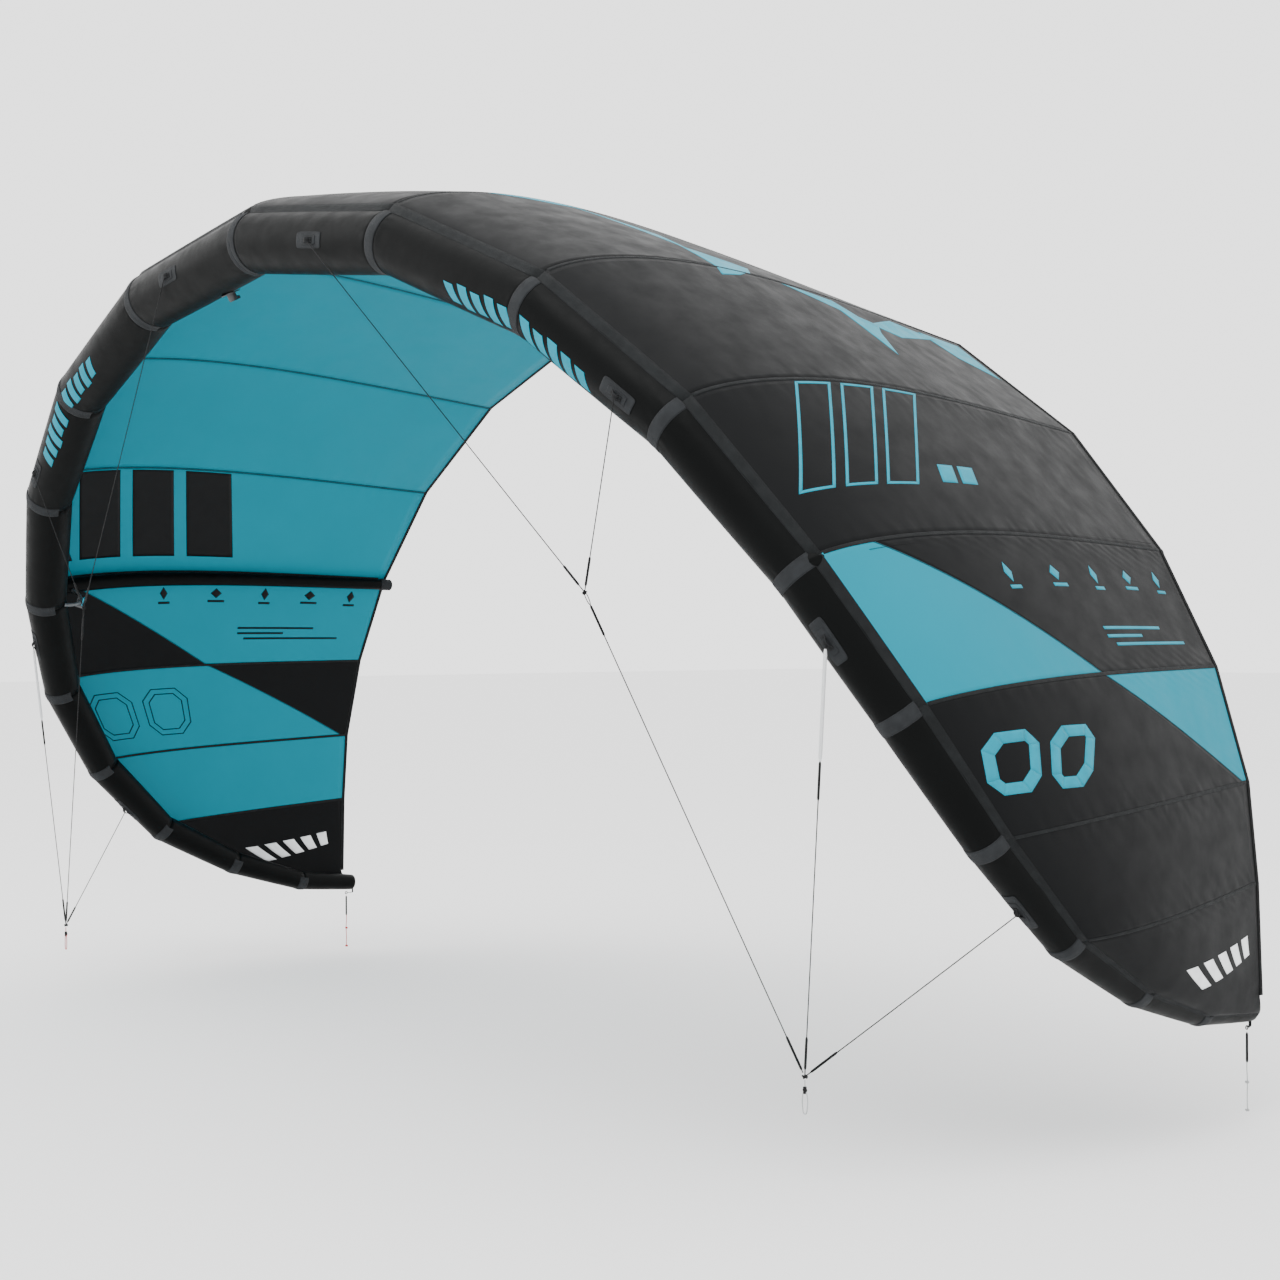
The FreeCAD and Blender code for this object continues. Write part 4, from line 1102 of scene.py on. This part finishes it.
def tight(start, end, sag=0.002):
    """Route of a line pulled tight: nearly straight, with the least sag under its own weight."""
    return [start, (start + end) / 2 + np.array([0, 0, -sag]), end]


def sleeve(name, start, end, radius, material, body):
    """Whipping or splice round a line, tapered at both ends."""
    share = np.concatenate([[0, 0.004, 0.012, 0.03], np.linspace(0.06, 0.94, 40),
                            [0.97, 0.988, 0.996, 1]])
    fall = np.minimum(share, 1 - share)
    radii = radius * (0.62 + 0.38 * smooth(fall / 0.05)) * (1 + 0.025 * np.sin(share * 130))
    pile = Pile()
    add_tube(pile, start + (end - start) * share[:, None], radii, 16)
    made = pile.make(name, material, 1, body)
    return made


def knot(name, centre, axis, radius, strand, material, body):
    """Overhand knot: one strand that winds through itself."""
    turn = np.linspace(0, 2 * math.pi, 121)
    scale = (radius - strand) / 3
    axis = unit(np.array(axis, float))
    first = unit(np.cross(axis, (0.3, 1.0, 0.2)))
    second = np.cross(axis, first)
    x = np.sin(turn) + 2 * np.sin(2 * turn)
    y = np.cos(turn) - 2 * np.cos(2 * turn)
    z = -1.25 * np.sin(3 * turn)
    line = centre + (first * x[:, None] + second * y[:, None] + axis * z[:, None]) * scale
    pile = Pile()
    add_tube(pile, line, np.full(len(line), strand), 12, capped=False)
    return pile.make(name, material, 1, body)


def bridle(side, sign):
    """Four legs, the link between the two knots, and everything whipped round them."""
    tabs = {name: flipped(tab_point(name), sign) for name in TAB_PLACES}
    upper, lower = flipped(UPPER_KNOT, sign), flipped(LOWER_KNOT, sign)
    line, dark = MATERIALS["line"], MATERIALS["whipping"]
    for name, top in tabs.items():
        level = "upper" if name in "ab" else "lower"
        body = f"{level}_bridle_{side}"
        end = upper if name in "ab" else lower
        up = unit(top - end)
        leg = cord_piece(f"bridle_leg_{name}_{side}", tight(top, end + up * 0.003), line, body)
        clear = LEG_A_CLEAR if name == "a" else WHIPPING_CLEAR
        pieces = [sleeve(f"leg_whipping_{name}_{side}", end + up * clear,
                         end + up * LEG_WHIPPING_END, WHIPPING_RADIUS, dark, body)]
        if name == "c":
            pieces.append(sleeve(f"leg_tail_{side}", top - up * 0.012, top - up * 0.252, 0.0042,
                                 MATERIALS["whipping_pale"], body))
            pieces.append(sleeve(f"leg_tail_whipping_{side}", top - up * 0.253, top - up * 0.336, WHIPPING_RADIUS,
                                 dark, body))
        if name in "ac":
            size = 0.0068 if name == "a" else 0.0075
            pieces.append(knot(f"bridle_knot_{level}_{side}", end, up, size, 0.0017, dark, body))
        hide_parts(f"bridle_line_{name}_{side}")
        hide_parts(f"bridle_{level}_knot_{side}")
        length = measured(leg)

    link_up = unit(upper - lower)
    body = f"bridle_link_{side}"
    link = cord_piece(f"bridle_link_{side}", tight(upper - link_up * 0.032, lower + link_up * 0.009),
                      line, body)
    eye = cord_eye(f"link_eye_{side}", upper + link_up * 0.0035, -link_up, 0.035, 0.0056, 0.0011,
                   dark, body)
    pieces = [sleeve(f"link_whipping_upper_{side}", upper - link_up * 0.034, upper - link_up * 0.112,
                     WHIPPING_RADIUS, dark, body),
              sleeve(f"link_whipping_lower_{side}", lower + link_up * WHIPPING_CLEAR, lower + link_up * 0.094,
                     WHIPPING_RADIUS, dark, body), eye]
    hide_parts(f"bridle_link_line_{side}")
    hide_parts(f"bridle_link_fittings_{side}")
    length = measured(link)


def cord_eye(name, top, down, length, half_width, strand, material, body):
    """Spliced eye: a narrow closed loop that opens in its middle."""
    turn = np.linspace(0, 2 * math.pi, 65)
    across = unit(np.cross(down, (0.2, 1.0, 0.1)))
    drop = length * (1 - np.cos(turn)) / 2
    width = half_width * np.sin(turn)
    line = top + down * drop[:, None] + across * width[:, None]
    pile = Pile()
    add_tube(pile, line, np.full(len(line), strand), 12, capped=False)
    return pile.make(name, material, 1, body)


def front_loop(side, sign):
    """Stem, stopper knot and loop below the bridle, in the wing's own colour."""
    body = f"front_loop_{side}"
    lower = flipped(LOWER_KNOT, sign)
    colour = MATERIALS["line_white" if side == "right" else "line_red"]
    top = lower + (0, 0, -0.007)
    route = [(0, 0, 0), (0.0006, 0, -0.010), (-0.0006, 0, -0.022), (0.0062, 0.0005, -0.030),
             (0.0078, 0.0008, -0.046), (0.0068, 0.0004, -0.062), (0.0046, 0, -0.0735),
             (-0.0046, 0, -0.0735), (-0.0068, -0.0004, -0.062), (-0.0078, -0.0008, -0.046),
             (-0.0062, -0.0005, -0.030), (0.0, 0, -0.021)]
    made = cord_piece(f"front_loop_cord_{side}", [top + flipped(p, sign) for p in route], colour, body)
    stopper = knot(f"front_loop_knot_{side}", top + (0, 0, -0.022), (0, 0, 1), 0.0058, 0.0015,
                   MATERIALS["whipping"], body)
    keeper = sleeve(f"front_loop_keeper_{side}", top + (0, 0, -0.014), top + (0, 0, -0.030), 0.0042,
                    MATERIALS["whipping"], body)
    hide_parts(f"front_line_loop_{side}")
    length = measured(made)


def rear_pigtail(side, sign):
    """Knotted line below the tip, whipped black at its upper end."""
    body = f"rear_pigtail_{side}"
    colour = MATERIALS["line_white" if side == "right" else "line_red"]
    top = flipped(PIGTAIL_TOP, sign) + (0, 0, -0.006)
    end = PIGTAIL_LENGTH - 0.006
    route = [(0, 0, 0), (0.0004, 0.0003, -0.040), (-0.0016, 0.0006, -0.085), (0.0018, -0.0008, -0.120),
             (-0.0006, 0.0006, -0.155), (0.0004, 0, -end)]
    made = cord_piece(f"pigtail_cord_{side}", [top + flipped(p, sign) for p in route], colour, body)
    start = top + (0, 0, -0.002)
    pieces = [sleeve(f"pigtail_whipping_{side}", start, start + np.array([0, 0, -0.072]), 0.0031,
                     MATERIALS["whipping"], body)]
    for number, drop in enumerate((PIGTAIL_KNOT_DROP, PIGTAIL_LENGTH - 0.001)):
        centre = flipped(PIGTAIL_TOP, sign) + (0, 0, -drop)
        pieces.append(knot(f"pigtail_knot_{number + 1}_{side}", centre, (0, 0, 1), 0.0058, 0.0015,
                           colour, body))
    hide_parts(f"rear_pigtail_{side}")
    length = measured(made)


# ---------------------------------------------------------------- valve, hoses, clips and bladders

CAD_LOOKS = {"inflation_valve_body": "valve_plastic", "inflation_valve_cap": "valve_plastic",
             "inflation_valve_flap": "valve_rubber", "air_hoses_and_clip_bases": "hose_plastic",
             "hose_clip_lever_centre": "clip_plastic", "hose_clip_lever_right": "clip_plastic",
             "hose_clip_lever_left": "clip_plastic", "bladders": "bladder_film"}


def dress_frame():
    """Materials for the hard pieces and the film, whose shapes are the frame's own."""
    for node, look in CAD_LOOKS.items():
        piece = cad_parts[node]
        for slot in piece.material_slots:
            slot.material = MATERIALS[look]


# ---------------------------------------------------------------- stage

CAMERA_PLACE = (5.3155, -3.1355, -1.0653)
CAMERA_HEADING = 50.0
CAMERA_ROLL = 0.0052
CAMERA_LENS = 64.2
FLOOR_HEIGHT = -2.235


def camera():
    data = bpy.data.cameras.new("camera")
    data.sensor_width = 36
    data.lens = CAMERA_LENS
    made = bpy.data.objects.new("camera", data)
    made.location = CAMERA_PLACE
    made.rotation_euler = (math.radians(90), CAMERA_ROLL, math.radians(CAMERA_HEADING))
    bpy.context.scene.collection.objects.link(made)
    bpy.context.scene.camera = made


def area_light(name, place, target, size, power):
    data = bpy.data.lights.new(name, "AREA")
    data.shape = "SQUARE"
    data.size = size
    data.energy = power
    made = bpy.data.objects.new(name, data)
    made.location = place
    aim = Vector(target) - Vector(place)
    made.rotation_euler = aim.to_track_quat("-Z", "Y").to_euler()
    bpy.context.scene.collection.objects.link(made)


def studio():
    mesh = bpy.data.meshes.new("floor")
    reach = 60
    mesh.from_pydata([(-reach, -reach, FLOOR_HEIGHT), (reach, -reach, FLOOR_HEIGHT),
                      (reach, reach, FLOOR_HEIGHT), (-reach, reach, FLOOR_HEIGHT)], [], [(0, 1, 2, 3)])
    floor = bpy.data.objects.new("floor", mesh)
    mesh.materials.append(Shader("floor_pale", (0.86, 0.86, 0.86, 1), Roughness=0.9).material)
    bpy.context.scene.collection.objects.link(floor)
    world = bpy.data.worlds.new("studio")
    world.use_nodes = True
    world.node_tree.nodes["Background"].inputs[0].default_value = (1, 1, 1, 1)
    world.node_tree.nodes["Background"].inputs[1].default_value = 2.4
    bpy.context.scene.world = world
    area_light("key", (2.5, -3.0, 6.0), (0.3, 0.8, -0.6), 5.0, 420)
    area_light("fill", (-6.0, -4.0, 2.5), (-1.0, 0.5, -0.8), 4.0, 60)


# ---------------------------------------------------------------- build

camera()
studio()
for side, sign in SIDES.items():
    bridle(side, sign)
    front_loop(side, sign)
    rear_pigtail(side, sign)
    for segment in range(1, STATIONS):
        sleeve_segment(segment, side, sign)
    for station in range(STATIONS - 1):
        seam_band(station, side, sign)
    canopy(side, sign)
    for station in range(PANELS):
        rib_tape(station, side, sign)
    for bay in COLOUR_SPLIT:
        split_tape(bay, side, sign)
    canopy_graphics(side, sign)
    joint_tape(side, sign)
    tube_graphics(side, sign)
    for name in TAB_PLACES:
        tab(name, side, sign)
    tip_webbing(side, sign)
for name, station in STRUT_STATIONS.items():
    strut(name, station, -1 if name == "left" else 1)
streaks()
trailing_hem()
dress_frame()
